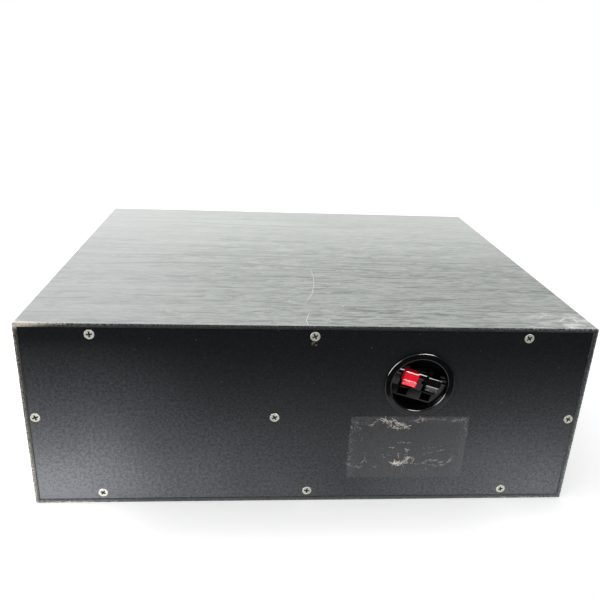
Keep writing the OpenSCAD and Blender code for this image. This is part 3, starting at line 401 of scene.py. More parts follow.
def makeBackPaint(name, settings, peeled):
    finish, tree, shader = startFinish(name)
    plain = objectPlace(tree)
    px, _, pz = axes(tree, plain)
    tooth = speckle(tree, plain, 0.0010, 2.0, 0.6)
    mottled = speckle(tree, plain, 0.0026, 4.0, 0.7)
    cloudy = speckle(tree, plain, 0.070, 3.0, 0.5)
    colour = tint(tree, step(tree, mottled, 0.30, 0.70), settings["dark"], settings["light"])
    colour = tint(tree, step(tree, tooth, 0.50, 0.72, 0.0, 0.16), colour, settings["tooth"])
    # Pale layer, partly dusty and partly painted light: a painted glow of the table towards the base and a
    # painted reflection towards both ends, stronger and reaching higher on the left
    ends = calc(tree, "ABSOLUTE", calc(tree, "MULTIPLY_ADD", px, 4.0, 0.15))
    low = calc(tree, "SUBTRACT", 1.0, calc(tree, "DIVIDE", pz, settings["dustTop"]), clamp=True)
    low = calc(tree, "POWER", low, step(tree, px, 0.05, 0.18, 1.6, 0.88))
    dustAndGlowFilm = calc(tree, "MULTIPLY", low, calc(tree, "MULTIPLY_ADD", ends, 0.87, 0.38))
    dustAndGlowFilm = calc(tree, "MULTIPLY", dustAndGlowFilm, step(tree, mottled, 0.32, 0.68, 0.62, 1.30))
    dustAndGlowFilm = calc(tree, "MULTIPLY", dustAndGlowFilm, step(tree, tooth, 0.32, 0.68, 0.70, 1.30))
    dustAndGlowFilm = calc(tree, "MULTIPLY", dustAndGlowFilm, step(tree, cloudy, 0.3, 0.7, 0.85, 1.05), clamp=True)
    if peeled:
        # The pale layer of painted light and dusty grime goes on the back panel only
        colour = tint(tree, dustAndGlowFilm, colour, settings["dust"])
    specks = step(tree, cells(tree, plain, 0.0060), 0.055, 0.095, 1.0, 0.0)
    specks = calc(tree, "MULTIPLY", specks, step(tree, speckle(tree, plain, 0.020, 2.0), 0.45, 0.60))
    colour = tint(tree, calc(tree, "MULTIPLY", specks, 0.22), colour, settings["speck"])
    rubbed = 0.0
    if peeled:
        lowX, highX = settings["peeledX"]
        lowZ, highZ = settings["peeledZ"]
        shiver = calc(tree, "MULTIPLY",
                      calc(tree, "SUBTRACT", speckle(tree, plain, 0.006, 4.0, 0.7), 0.5), 0.0022)
        ragX, ragZ = calc(tree, "ADD", px, shiver), calc(tree, "ADD", pz, shiver)
        area = calc(tree, "MULTIPLY",
                    window(tree, ragX, lowX, highX, 0.0006), window(tree, ragZ, lowZ, highZ, 0.0006))
        inner = calc(tree, "MULTIPLY", window(tree, ragX, lowX + 0.006, highX - 0.006, 0.004),
                     window(tree, ragZ, lowZ - 0.006, highZ - 0.007, 0.004))
        rim = calc(tree, "SUBTRACT", 1.0, inner)
        streaks = speckle(tree, objectPlace(tree, scale=(1, 1, 0.16)), 0.0014, 3.0, 0.65)
        clots = speckle(tree, plain, 0.0032, 4.0, 0.7, 1.5)
        veil = calc(tree, "ADD",
                    step(tree, streaks, 0.35, 0.75, 0.10, 0.28), step(tree, cloudy, 0.3, 0.7, 0.0, 0.10))
        edgeVeil = calc(tree, "MULTIPLY", rim, step(tree, clots, 0.47, 0.62, 0.05, 0.45))
        rubbed = calc(tree, "MULTIPLY", calc(tree, "ADD", veil, edgeVeil, clamp=True), area)
        colour = tint(tree, rubbed, colour, settings["haze"])
        # A rusty chip under the middle top screw
        chip = calc(tree, "MULTIPLY", window(tree, px, *settings["chipX"], 0.0006),
                    window(tree, pz, *settings["chipZ"], 0.0008))
        chip = calc(tree, "MULTIPLY", chip, step(tree, speckle(tree, plain, 0.0012, 3.0), 0.48, 0.56))
        colour = tint(tree, calc(tree, "MULTIPLY", chip, 0.8), colour, settings["chip"])
    tree.links.new(colour, shader.inputs["Base Color"])
    rough = calc(tree, "ADD", step(tree, mottled, 0.3, 0.7, 0.35, 0.43), calc(tree, "MULTIPLY", rubbed, 0.25))
    tree.links.new(rough, shader.inputs["Roughness"])
    shader.inputs["Specular IOR Level"].default_value = 0.20
    relief(tree, shader,
           calc(tree, "MULTIPLY_ADD", mottled, 0.7, calc(tree, "MULTIPLY", tooth, 0.5)), 0.00010, 0.5)
    return finish


# Dull zinc of the panel's screws, turned near-black and matt below recessY: deep in the cross, on the rim's
# rounding and down the shank
screwMetal = {"bright": (0.62, 0.63, 0.55), "dull": (0.34, 0.34, 0.29), "rust": (0.30, 0.22, 0.14),
              "darkBelowRecessY": (0.006, 0.006, 0.006), "recessY": (0.18165, 0.18195)}


def makeScrewMetal(name, settings):
    finish, tree, shader = startFinish(name)
    plain = objectPlace(tree)
    _, py, _ = axes(tree, plain)
    tarnish = speckle(tree, plain, 0.0013, 4.0, 0.65)
    patches = speckle(tree, plain, 0.0040, 2.0, 0.5)
    colour = tint(tree, step(tree, tarnish, 0.35, 0.65), settings["bright"], settings["dull"])
    rust = calc(tree, "MULTIPLY", step(tree, patches, 0.52, 0.62), step(tree, tarnish, 0.42, 0.55))
    colour = tint(tree, calc(tree, "MULTIPLY", rust, 0.35), colour, settings["rust"])
    # Near-black and matt below recessY, in the cross and on the rim's rounding
    darkBelowRecessY = step(tree, py, *settings["recessY"], 1.0, 0.0)
    colour = tint(tree, darkBelowRecessY, colour, settings["darkBelowRecessY"])
    tree.links.new(colour, shader.inputs["Base Color"])
    rough = step(tree, tarnish, 0.3, 0.7, 0.34, 0.55)
    rough = calc(tree, "ADD", rough, calc(tree, "MULTIPLY", darkBelowRecessY, 0.4), clamp=True)
    tree.links.new(rough, shader.inputs["Roughness"])
    tree.links.new(step(tree, darkBelowRecessY, 0.0, 1.0, 0.35, 0.0), shader.inputs["Metallic"])
    relief(tree, shader, tarnish, 0.00003, 0.6)
    return finish


# Finishes of one recipe: two mottled colours, uneven gloss and a fine relief
simpleFinishes = {
    "rawBatten": dict(pale=(0.66, 0.52, 0.34), dark=(0.46, 0.32, 0.18),
        size=0.0035, gloss=(0.55, 0.75), depth=0.00015, stretch=(1, 1, 0.08)),
    "cupPlastic": dict(pale=(0.0050, 0.0050, 0.0055), dark=(0.0030, 0.0030, 0.0035),
        size=0.0040, gloss=(0.06, 0.13), depth=0.000004, mirror=0.42),
    "redPlastic": dict(pale=(1.0, 0.010, 0.030), dark=(0.93, 0.005, 0.016),
        size=0.0030, gloss=(0.14, 0.26), depth=0.000006),
    "blackPlastic": dict(pale=(0.0060, 0.0060, 0.0065), dark=(0.0040, 0.0040, 0.0045),
        size=0.0030, gloss=(0.10, 0.20), depth=0.000006, mirror=0.40),
    "tinnedBrass": dict(pale=(0.26, 0.23, 0.16), dark=(0.14, 0.12, 0.08),
        size=0.0018, gloss=(0.40, 0.60), metal=1.0, depth=0.00002),
    "springSteel": dict(pale=(0.62, 0.62, 0.61), dark=(0.40, 0.41, 0.42),
        size=0.0015, gloss=(0.20, 0.36), metal=1.0, depth=0.00001),
    "grilleBoard": dict(pale=(0.060, 0.058, 0.055), dark=(0.022, 0.022, 0.023),
        size=0.0022, gloss=(0.55, 0.80), depth=0.00018),
    "pegPlastic": dict(pale=(0.035, 0.035, 0.036), dark=(0.018, 0.018, 0.019),
        size=0.0025, gloss=(0.38, 0.55), depth=0.00003),
    "basketPaint": dict(pale=(0.045, 0.045, 0.050), dark=(0.020, 0.020, 0.024),
        size=0.0020, gloss=(0.34, 0.52), depth=0.00006),
    "gasketCard": dict(pale=(0.050, 0.044, 0.036), dark=(0.020, 0.018, 0.016),
        size=0.0016, gloss=(0.70, 0.90), depth=0.00020),
    "softRubber": dict(pale=(0.024, 0.024, 0.025), dark=(0.011, 0.011, 0.012),
        size=0.0040, gloss=(0.42, 0.60), depth=0.00004),
    "conePaper": dict(pale=(0.075, 0.070, 0.062), dark=(0.028, 0.026, 0.024),
        size=0.0028, gloss=(0.60, 0.85), depth=0.00022),
    "spiderCloth": dict(pale=(0.66, 0.50, 0.26), dark=(0.42, 0.28, 0.12),
        size=0.0009, gloss=(0.60, 0.80), depth=0.00015),
    "coilWire": dict(pale=(0.82, 0.42, 0.20), dark=(0.48, 0.19, 0.07),
        size=0.0006, gloss=(0.24, 0.40), metal=0.9, depth=0.00010, stretch=(0.1, 1, 0.1)),
    "platedSteel": dict(pale=(0.64, 0.63, 0.58), dark=(0.42, 0.42, 0.40),
        size=0.0050, gloss=(0.22, 0.42), metal=1.0, depth=0.00003),
    "ferriteGrey": dict(pale=(0.120, 0.120, 0.125), dark=(0.060, 0.060, 0.064),
        size=0.0030, gloss=(0.55, 0.80), depth=0.00015),
    "pressedFibre": dict(pale=(0.42, 0.24, 0.12), dark=(0.24, 0.12, 0.06),
        size=0.0012, gloss=(0.60, 0.80), depth=0.00010),
    "blackScrew": dict(pale=(0.040, 0.040, 0.043), dark=(0.014, 0.014, 0.016),
        size=0.0012, gloss=(0.28, 0.48), metal=0.6, depth=0.00003),
    "facePlastic": dict(pale=(0.040, 0.040, 0.042), dark=(0.020, 0.020, 0.022),
        size=0.0009, gloss=(0.42, 0.58), depth=0.00006),
    "domeSilk": dict(pale=(0.080, 0.080, 0.095), dark=(0.030, 0.030, 0.040),
        size=0.0005, gloss=(0.40, 0.62), depth=0.00010),
    "filterBoard": dict(pale=(0.55, 0.40, 0.20), dark=(0.36, 0.24, 0.10),
        size=0.0045, gloss=(0.50, 0.70), depth=0.00008),
    "capacitorSleeve": dict(pale=(0.035, 0.105, 0.42), dark=(0.020, 0.060, 0.28),
        size=0.0060, gloss=(0.22, 0.36), depth=0.00002),
    "cement": dict(pale=(0.84, 0.82, 0.76), dark=(0.66, 0.64, 0.58),
        size=0.0011, gloss=(0.75, 0.92), depth=0.00025),
    "leadJacket": dict(pale=(0.52, 0.030, 0.030), dark=(0.34, 0.015, 0.018),
        size=0.0040, gloss=(0.34, 0.50), depth=0.00003),
}


def makeSimpleFinish(name, pale, dark, size, gloss, depth, metal=0.0, stretch=(1, 1, 1), mirror=0.5):
    finish, tree, shader = startFinish(name)
    vector = objectPlace(tree, scale=stretch)
    mottled = speckle(tree, vector, size, 4.0, 0.6)
    grains = speckle(tree, vector, size * 0.28, 2.0, 0.6)
    worn = speckle(tree, objectPlace(tree), size * 6, 2.0, 0.5)
    mixed = calc(tree, "MULTIPLY_ADD", grains, 0.35, calc(tree, "MULTIPLY", mottled, 0.65))
    tree.links.new(tint(tree, step(tree, mixed, 0.32, 0.66), pale, dark), shader.inputs["Base Color"])
    low, high = gloss
    tree.links.new(step(tree, calc(tree, "MULTIPLY_ADD", worn, 0.5, calc(tree, "MULTIPLY", mottled, 0.5)),
                        0.30, 0.70, low, high), shader.inputs["Roughness"])
    shader.inputs["Metallic"].default_value = metal
    shader.inputs["Specular IOR Level"].default_value = mirror
    relief(tree, shader, mixed, depth, 0.6)
    return finish


grilleWeave = {"pitch": 0.0011, "thread": (0.019, 0.019, 0.021), "gap": (0.003, 0.003, 0.004),
               "fuzz": (0.040, 0.040, 0.044)}


def makeGrilleWeave(name, settings):
    finish, tree, shader = startFinish(name)
    px, py, pz = axes(tree, objectPlace(tree))
    # Over-and-under threads; on the returns the Y coordinate takes the place of X or Z
    turns = 2 * math.pi / settings["pitch"]
    warp = calc(tree, "SINE", calc(tree, "MULTIPLY", calc(tree, "ADD", px, py), turns))
    weft = calc(tree, "SINE", calc(tree, "MULTIPLY", calc(tree, "ADD", pz, py), turns))
    warpHalf = calc(tree, "SINE", calc(tree, "MULTIPLY", calc(tree, "ADD", px, py), turns / 2))
    weftHalf = calc(tree, "SINE", calc(tree, "MULTIPLY", calc(tree, "ADD", pz, py), turns / 2))
    crossing = calc(tree, "MULTIPLY", warpHalf, weftHalf)
    threads = calc(tree, "MAXIMUM", calc(tree, "MULTIPLY_ADD", crossing, 0.35, warp),
                   calc(tree, "MULTIPLY_ADD", crossing, -0.35, weft))
    fuzz = speckle(tree, objectPlace(tree), 0.0012, 3.0, 0.6)
    colour = tint(tree, step(tree, threads, -0.2, 0.75), settings["gap"], settings["thread"])
    colour = tint(tree, calc(tree, "MULTIPLY", step(tree, fuzz, 0.5, 0.8), 0.35), colour, settings["fuzz"])
    tree.links.new(colour, shader.inputs["Base Color"])
    tree.links.new(step(tree, fuzz, 0.3, 0.7, 0.72, 0.92), shader.inputs["Roughness"])
    shader.inputs["Sheen Weight"].default_value = 0.08
    relief(tree, shader, threads, 0.00020, 0.8)
    return finish


def makeWadding(name):
    finish, tree, shader = startFinish(name)
    tufts = speckle(tree, objectPlace(tree), 0.010, 5.0, 0.65, 0.8)
    hairs = speckle(tree, objectPlace(tree, scale=(1, 0.2, 1)), 0.0012, 3.0, 0.7, 1.0)
    colour = tint(tree, step(tree, tufts, 0.3, 0.7), (0.90, 0.90, 0.88), (0.68, 0.68, 0.67))
    tree.links.new(colour, shader.inputs["Base Color"])
    tree.links.new(step(tree, hairs, 0.3, 0.7, 0.85, 1.0), shader.inputs["Roughness"])
    shader.inputs["Sheen Weight"].default_value = 0.5
    relief(tree, shader, calc(tree, "MULTIPLY_ADD", hairs, 0.4, tufts), 0.0025, 0.8)
    return finish


# Torn paper: thick and white only between the two places along X, thin and grey beyond them
paperTones = {"cream": (0.86, 0.82, 0.72), "pink": (0.88, 0.74, 0.72), "fibre": (0.44, 0.40, 0.36),
              "thin": (0.150, 0.148, 0.142), "thickX": (-0.086, -0.058)}


def makePaperRemains(name, settings):
    finish, tree, shader = startFinish(name)
    plain = objectPlace(tree)
    fibres = speckle(tree, objectPlace(tree, turn=(0, 0.5, 0), scale=(0.3, 1, 1)), 0.0005, 3.0, 0.7)
    blush = speckle(tree, plain, 0.0050, 2.0, 0.5)
    colour = tint(tree, step(tree, blush, 0.45, 0.62), settings["cream"], settings["pink"])
    colour = tint(tree, step(tree, fibres, 0.44, 0.70), colour, settings["fibre"])
    px, _, _ = axes(tree, plain)
    faint = calc(tree, "SUBTRACT", 1.0, window(tree, px, *settings["thickX"], 0.010))
    colour = tint(tree, calc(tree, "MULTIPLY", faint, 0.55), colour, settings["thin"])
    tree.links.new(colour, shader.inputs["Base Color"])
    tree.links.new(step(tree, fibres, 0.3, 0.7, 0.75, 0.95), shader.inputs["Roughness"])
    relief(tree, shader, fibres, 0.00008, 0.8)
    return finish


finishes = {name: makeSimpleFinish(name, **recipe) for name, recipe in simpleFinishes.items()}
finishes["ashTop"] = makeAshWrap("ashTop", False, ashWrap)
finishes["ashSide"] = makeAshWrap("ashSide", True, ashWrap)
finishes["zincScrew"] = makeScrewMetal("zincScrew", screwMetal)
finishes["backPaint"] = makeBackPaint("backPaint", backPaint, True)
finishes["bafflePaint"] = makeBackPaint("bafflePaint", backPaint, False)
finishes["grilleWeave"] = makeGrilleWeave("grilleWeave", grilleWeave)
finishes["wadding"] = makeWadding("wadding")
finishes["paperRemains"] = makePaperRemains("paperRemains", paperTones)
print("finishes made:", len(finishes))

# Which finish each carried-over node wears
nodeFinishes = {
    "top_board": "ashTop", "bottom_board": "ashTop",
    "left_side_board": "ashSide", "right_side_board": "ashSide",
    "front_baffle": "bafflePaint", "back_panel": "backPaint", "centre_brace": "rawBatten",
    "back_panel_screws": "zincScrew", "terminal_cup": "cupPlastic", "red_lever": "redPlastic",
    "black_lever": "blackPlastic", "red_contact": "tinnedBrass", "black_contact": "tinnedBrass",
    "red_spring": "springSteel", "black_spring": "springSteel", "grille_rails": "grilleBoard",
    "grille_uprights": "grilleBoard", "grille_cloth": "grilleWeave",
    "grille_pegs": "pegPlastic", "grille_sockets": "pegPlastic",
    "basket": "basketPaint", "gasket": "gasketCard", "surround": "softRubber", "cone": "conePaper",
    "dust_cap": "conePaper", "voice_coil": "coilWire", "spider": "spiderCloth", "top_plate": "platedSteel",
    "magnet": "ferriteGrey", "back_plate": "platedSteel", "terminals": "pressedFibre",
    "woofer_screws": "blackScrew", "tweeter_faceplate": "facePlastic", "tweeter_dome": "domeSilk",
    "tweeter_screws": "blackScrew", "crossover_board": "filterBoard",
    "crossover_capacitors": "capacitorSleeve", "crossover_inductors": "coilWire",
    "crossover_resistor": "cement", "leads": "leadJacket",
    "damping_wadding": "wadding",
}


def finishOf(nodeName):
    if nodeName in nodeFinishes:
        return nodeFinishes[nodeName]
    return next(finish for ending, finish in nodeFinishes.items() if nodeName.endswith("_" + ending))


for nodeName, cadNode in cadNodes.items():
    for materialSlot in cadNode.material_slots:
        materialSlot.link = "OBJECT"
        materialSlot.material = finishes[finishOf(nodeName)]
print("nodes dressed")


# Small helpers for new pieces
def wholeOf(mesh):
    return mesh.verts[:] + mesh.edges[:] + mesh.faces[:]


def addBlock(mesh, centre, size):
    bmesh.ops.create_cube(mesh, size=1, matrix=Matrix.Translation(centre) @ Matrix.Diagonal((*size, 1)))


def roundEdges(mesh, edges, offset, segments):
    bmesh.ops.bevel(mesh, geom=edges, offset=offset, segments=segments, profile=0.5,
                    affect="EDGES", material=-1)


def grownRing(mesh, edges):      # extrudes a ring of edges and gives the new ring's vertices and edges
    grown = bmesh.ops.extrude_edge_only(mesh, edges=edges)["geom"]
    verts = [item for item in grown if isinstance(item, bmesh.types.BMVert)]
    ringEdges = [item for item in grown if isinstance(item, bmesh.types.BMEdge)]
    return verts, [edge for edge in ringEdges if all(vert in verts for vert in edge.verts)]


def finishPiece(mesh, name, finishName, body, smoothAngle=None):
    bmesh.ops.remove_doubles(mesh, verts=mesh.verts, dist=1e-7)
    bmesh.ops.recalc_face_normals(mesh, faces=mesh.faces)
    data = bpy.data.meshes.new(name)
    mesh.to_mesh(data)
    mesh.free()
    data.materials.append(finishes[finishName])
    if smoothAngle is not None:
        data.shade_smooth()
        data.set_sharp_from_angle(angle=math.radians(smoothAngle))
    piece = bpy.data.objects.new(name, data)
    scene.collection.objects.link(piece)
    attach(piece, body)
    return piece


# Countersunk cross-head screws of the back panel
panelScrews = {
    "places": [(-0.170, 0.0092), (-0.170, 0.1538), (0.0, 0.0092), (0.0, 0.1538), (0.170, 0.0092),
               (0.170, 0.1538), (0.217, 0.0815), (-0.217, 0.0797), (0.0294, 0.0815)],
    "faceY": 0.182, "headRadius": 0.0041, "shankRadius": 0.0018,
    "length": 0.028, "point": 0.003, "rounding": 0.00035,
    "crossReach": 0.00245, "crossHalf": 0.00072, "crossDepth": 0.0016, "crossTaper": 0.62,
    "turns": [12, 40, -8, 25, -33, 5, 18, -20, 30],
}


def crossOutline(reach, half):     # corners of a cross, the reach of its arms and half their width
    quarter = [(reach, -half), (reach, half), (half, half)]
    corners = []
    for turn in range(4):
        for x, y in quarter:
            for _ in range(turn):
                x, y = -y, x
            corners.append((x, y))
    return corners


def addScrew(mesh, settings, place, turn):
    head, shank = settings["headRadius"], settings["shankRadius"]
    corners = crossOutline(settings["crossReach"], settings["crossHalf"])
    ring = bmesh.ops.create_circle(mesh, segments=24, radius=head - settings["rounding"])["verts"]
    cross = bmesh.ops.create_circle(mesh, segments=12, radius=settings["crossReach"])["verts"]
    for vert, (x, y) in zip(cross, corners):
        vert.co.x, vert.co.y = x, y
    ringEdges = [edge for edge in mesh.edges if edge.verts[0] in ring]
    crossEdges = [edge for edge in mesh.edges if edge.verts[0] in cross]
    made = list(ring) + list(cross)
    bmesh.ops.bridge_loops(mesh, edges=ringEdges + crossEdges)
    # The recess tapers down to its floor
    floorVerts, floorEdges = grownRing(mesh, crossEdges)
    taper = settings["crossTaper"]
    for vert in floorVerts:
        vert.co.x, vert.co.y, vert.co.z = vert.co.x * taper, vert.co.y * taper, -settings["crossDepth"]
    bmesh.ops.contextual_create(mesh, geom=floorEdges)
    made += floorVerts
    # Rounded rim, countersink, shank and point
    edges = ringEdges
    for radius, depth in ((head, settings["rounding"]), (shank, head - shank + 0.0001),
                          (shank, settings["length"] - settings["point"]), (0.0003, settings["length"])):
        verts, edges = grownRing(mesh, edges)
        for vert in verts:
            flat = Vector((vert.co.x, vert.co.y, 0)).normalized() * radius
            vert.co = Vector((flat.x, flat.y, -depth))
        made += verts
    bmesh.ops.contextual_create(mesh, geom=edges)
    spot = Vector((place[0], settings["faceY"], place[1]))
    turned = Matrix.Rotation(math.radians(-90), 4, "X") @ Matrix.Rotation(math.radians(turn), 4, "Z")
    stand = Matrix.Translation(spot) @ turned
    bmesh.ops.transform(mesh, matrix=stand, verts=made)


screwMesh = bmesh.new()
for place, turn in zip(panelScrews["places"], panelScrews["turns"]):
    addScrew(screwMesh, panelScrews, place, turn)
screwPiece = finishPiece(screwMesh, "panelScrewHeads", "zincScrew", "cabinet", 35)
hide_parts("back_panel_screws")
print("panel screws made")

# Paper fibres left where a sheet was peeled off the panel: runs of (x, z) in millimetres seen from behind,
# how many strands, how far they scatter and their size in millimetres
paperRemains = {
    "faceY": 0.18201, "seed": 7, "width": (0.10, 0.17),
    "runs": [
        ([(59, 80.5), (65, 77.5), (69, 78.5), (73, 75.5), (78, 73), (84, 71.3)], 44, 0.5, 1.6),
        ([(66, 76.5), (71, 75.2), (75, 76.2)], 16, 0.6, 1.3),
        ([(67, 71.8), (75, 71.4)], 16, 0.4, 1.0),
        ([(54, 80.5), (60, 79), (64, 76)], 20, 0.7, 0.9),
        ([(47, 74.2), (50, 74.8), (53, 75.4)], 14, 0.6, 0.9),
        ([(34, 79), (40, 76.5), (47, 74.8)], 14, 0.5, 0.6),
        ([(87, 78.6), (88.5, 78.3)], 8, 0.4, 0.9),
        ([(89, 79.6), (92, 80.6), (95, 79.8)], 22, 0.5, 1.1),
        ([(94, 80.6), (101, 80.4), (110, 79.8), (119, 79.0), (127, 79.6)], 46, 0.4, 0.6),
        ([(118, 78.6), (125, 79.6), (129, 81)], 24, 0.7, 0.7),
        ([(128, 82), (129.5, 77), (130.5, 70), (131, 62)], 30, 0.8, 0.5),
        ([(33.5, 77), (34.5, 68), (33.5, 58), (34.2, 46), (33.2, 37)], 34, 0.7, 0.6),
        ([(37, 77), (40, 72), (38, 66)], 14, 1.3, 0.6),
        ([(41, 67), (44, 62), (41, 55)], 10, 2.0, 0.5),
        ([(33, 37), (38, 33), (43, 36.5), (47, 41), (50.5, 37.5)], 24, 0.6, 0.7),
        ([(47, 47), (47.6, 41), (44, 36.5)], 12, 0.4, 0.6),
        ([(37, 32.4), (44, 33.6)], 10, 0.5, 0.8),
        ([(53, 34), (59, 33)], 5, 1.2, 0.4),
        ([(75, 57.2), (85, 57.4)], 12, 0.35, 0.6),
        ([(67, 52.8), (72, 52.3)], 8, 0.3, 0.5),
        ([(60, 47), (63, 44), (69, 45)], 9, 1.0, 0.4),
        ([(81, 50.6), (84, 48.8)], 9, 0.4, 1.0),
        ([(74.5, 46), (77, 41.5)], 8, 0.3, 0.6),
        ([(81, 46), (84, 42)], 10, 0.8, 0.6),
        ([(71.5, 36.6), (75, 37.2), (79, 36.6), (82, 39.2), (84, 42)], 40, 0.35, 1.6),
        ([(72, 37.4), (75.5, 36.0)], 16, 0.5, 1.6),
        ([(88.5, 41), (89.2, 37)], 10, 0.4, 0.9),
        ([(91, 35.2), (98, 37), (101, 40.2), (108, 39), (113, 37.3), (118, 35.4), (121.5, 41)], 64, 0.5, 0.8),
        ([(98, 37), (103, 35), (110, 34.6), (117, 35.8)], 34, 0.5, 0.7),
        ([(97, 45.6), (105, 47.6), (114, 50.2)], 24, 0.4, 0.5),
        ([(94, 51.4), (103, 52.6), (113, 53.2)], 16, 0.4, 0.4),
        ([(120, 46), (124, 38)], 9, 1.2, 0.4),
        ([(79, 33), (81, 30)], 3, 0.8, 0.4), ([(100, 31.4), (102, 30.8)], 3, 0.5, 0.6),
    ],
}


def pointOnRun(run, t):
    spans = [math.dist(a, b) for a, b in zip(run, run[1:])]
    way = t * sum(spans)
    for span, a, b in zip(spans, run, run[1:]):
        if way <= span:
            share = way / span
            spot = (a[0] + (b[0] - a[0]) * share, a[1] + (b[1] - a[1]) * share)
            return spot, math.atan2(b[1] - a[1], b[0] - a[0])
        way -= span
    return run[-1], math.atan2(run[-1][1] - run[-2][1], run[-1][0] - run[-2][0])


def strandPath(rng, run, spread, size):
    start, backwards = rng.random(), rng.random() < 0.5
    (x, z), angle = pointOnRun(run, start)
    side = rng.gauss(0, spread)
    x, z = x - math.sin(angle) * side, z + math.cos(angle) * side
    heading = rng.gauss(0, 0.9) if rng.random() < 0.3 else rng.gauss(0, 0.2)
    points = []
    for _ in range(rng.randint(3, 7)):
        points.append((x, z))
        _, angle = pointOnRun(run, start)
        turn = angle + heading + rng.gauss(0, 0.5) + (math.pi if backwards else 0)
        reach = size * rng.uniform(0.35, 0.85)
        x, z = x + math.cos(turn) * reach, z + math.sin(turn) * reach
    return points


def addStrand(mesh, rng, settings, points, width):      # a thin ridge of fibres, flat on the panel
    rows = []
    for index, (x, z) in enumerate(points):
        before, after = points[max(index - 1, 0)], points[min(index + 1, len(points) - 1)]
        along = Vector((after[0] - before[0], after[1] - before[1])).normalized()
        half = width * rng.uniform(0.25, 0.6) * (0.4 if index in (0, len(points) - 1) else 1.0)
        lift = rng.uniform(0.05, 0.20)
        sideX, sideZ = along.y * half, along.x * half
        corners = [(x - sideX, z + sideZ, 0), (x, z, lift), (x + sideX, z - sideZ, 0)]
        rows.append([mesh.verts.new((-cx * 0.001, settings["faceY"] + cy * 0.001, cz * 0.001))
                     for cx, cz, cy in corners])
    for first, second in zip(rows, rows[1:]):
        for side in range(3):
            mesh.faces.new((first[side], second[side], second[(side + 1) % 3], first[(side + 1) % 3]))
    mesh.faces.new(rows[0])
    mesh.faces.new(reversed(rows[-1]))


def makePaperRemainsPiece(settings):
    rng = random.Random(settings["seed"])
    thin, grow = settings["width"]
    mesh = bmesh.new()
    for run, count, spread, size in settings["runs"]:
        for _ in range(count):
            points = strandPath(rng, run, spread, size)
            addStrand(mesh, rng, settings, points, (thin + grow * size) * rng.uniform(0.5, 1.3))
    return finishPiece(mesh, "paperRemains", "paperRemains", "cabinet")


makePaperRemainsPiece(paperRemains)
print("paper remains made")

# Grille cloth: one stretched piece over the frame's face, turned back along its sides
grilleCloth = {
    "low": (-0.2085, -0.1811, 0.01650), "high": (0.2085, -0.1665, 0.14650),
    "rounding": 0.0026, "thickness": 0.0005,
    "cutsX": (-0.2, 0.01, 41), "cutsZ": (0.021, 0.0101, 13),      # first cut, pitch and count
    "windowX": 0.058, "windowZ": (0.031, 0.132), "rim": 0.012, "dip": 0.0007, "dipRun": 0.02,
}


def cutAcross(mesh, normal, first, pitch, count):
    for place in [first + pitch * index for index in range(count)]:
        bmesh.ops.bisect_plane(mesh, geom=wholeOf(mesh), plane_co=Vector(normal) * place, plane_no=normal)


def makeGrilleCloth(settings):
    low, high = Vector(settings["low"]), Vector(settings["high"])
    mesh = bmesh.new()
    addBlock(mesh, (low + high) / 2, high - low)
    back = [face for face in mesh.faces if face.normal.y > 0.9]
    bmesh.ops.delete(mesh, geom=back, context="FACES_ONLY")
    roundEdges(mesh, [edge for edge in mesh.edges if not edge.is_boundary], settings["rounding"], 4)
    cutAcross(mesh, (1, 0, 0), *settings["cutsX"])
    cutAcross(mesh, (0, 0, 1), *settings["cutsZ"])
    lowZ, highZ = settings["windowZ"]
    outerX = high.x - settings["rim"]
    for vert in mesh.verts:       # the cloth dips a little over the three windows
        x, y, z = vert.co
        if abs(y - low.y) < 1e-5 and lowZ < z < highZ and abs(x) < outerX:
            nearBar = min(abs(abs(x) - settings["windowX"]), abs(outerX - abs(x)))
            nearEdge = min(z - lowZ, highZ - z, nearBar)
            vert.co.y += settings["dip"] * min(1.0, nearEdge / settings["dipRun"])
    piece = finishPiece(mesh, "grilleClothSheet", "grilleWeave", "grille", 60)
    wall = piece.modifiers.new("clothThickness", "SOLIDIFY")
    wall.thickness = settings["thickness"]
    wall.offset = -1
    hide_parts("grille_cloth")


makeGrilleCloth(grilleCloth)
print("grille cloth made")

# Two pads of fluffy wadding under the top board, mirrored from one that starts at innerX
waddingPads = {"innerX": 0.090, "inset": (0.006, 0.006, 0.004), "corner": 0.012, "cuts": 11,
               "tuftScale": 60, "tuft": 0.0035, "tuftLimits": (-0.004, 0.002)}


def makeWaddingPads(settings):
    pad = bmesh.new()
    cadLow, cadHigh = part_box("damping_wadding")
    innerX = settings["innerX"]
    size = Vector((cadHigh[0] - innerX, cadHigh[1] - cadLow[1], cadHigh[2] - cadLow[2]))
    centre = Vector(((cadHigh[0] + innerX) / 2, (cadHigh[1] + cadLow[1]) / 2, (cadHigh[2] + cadLow[2]) / 2))
    addBlock(pad, centre, [length - inset for length, inset in zip(size, settings["inset"])])
    roundEdges(pad, pad.edges[:], settings["corner"], 3)
    bmesh.ops.subdivide_edges(pad, edges=pad.edges[:], cuts=settings["cuts"], use_grid_fill=True)
    bmesh.ops.smooth_vert(pad, verts=pad.verts, factor=0.5, use_axis_x=True, use_axis_y=True, use_axis_z=True)
    pad.normal_update()
    inmost, outmost = settings["tuftLimits"]
    for vert in pad.verts:
        lift = noise.fractal(vert.co * settings["tuftScale"], 0.8, 2.0, 3) * settings["tuft"]
        vert.co += vert.normal * max(inmost, min(outmost, lift))
    bmesh.ops.mirror(pad, geom=wholeOf(pad), matrix=Matrix.Identity(4), merge_dist=-1, axis="X")
    piece = finishPiece(pad, "waddingPads", "wadding", "cabinet", 80)
    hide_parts("damping_wadding")


makeWaddingPads(waddingPads)
print("wadding made")

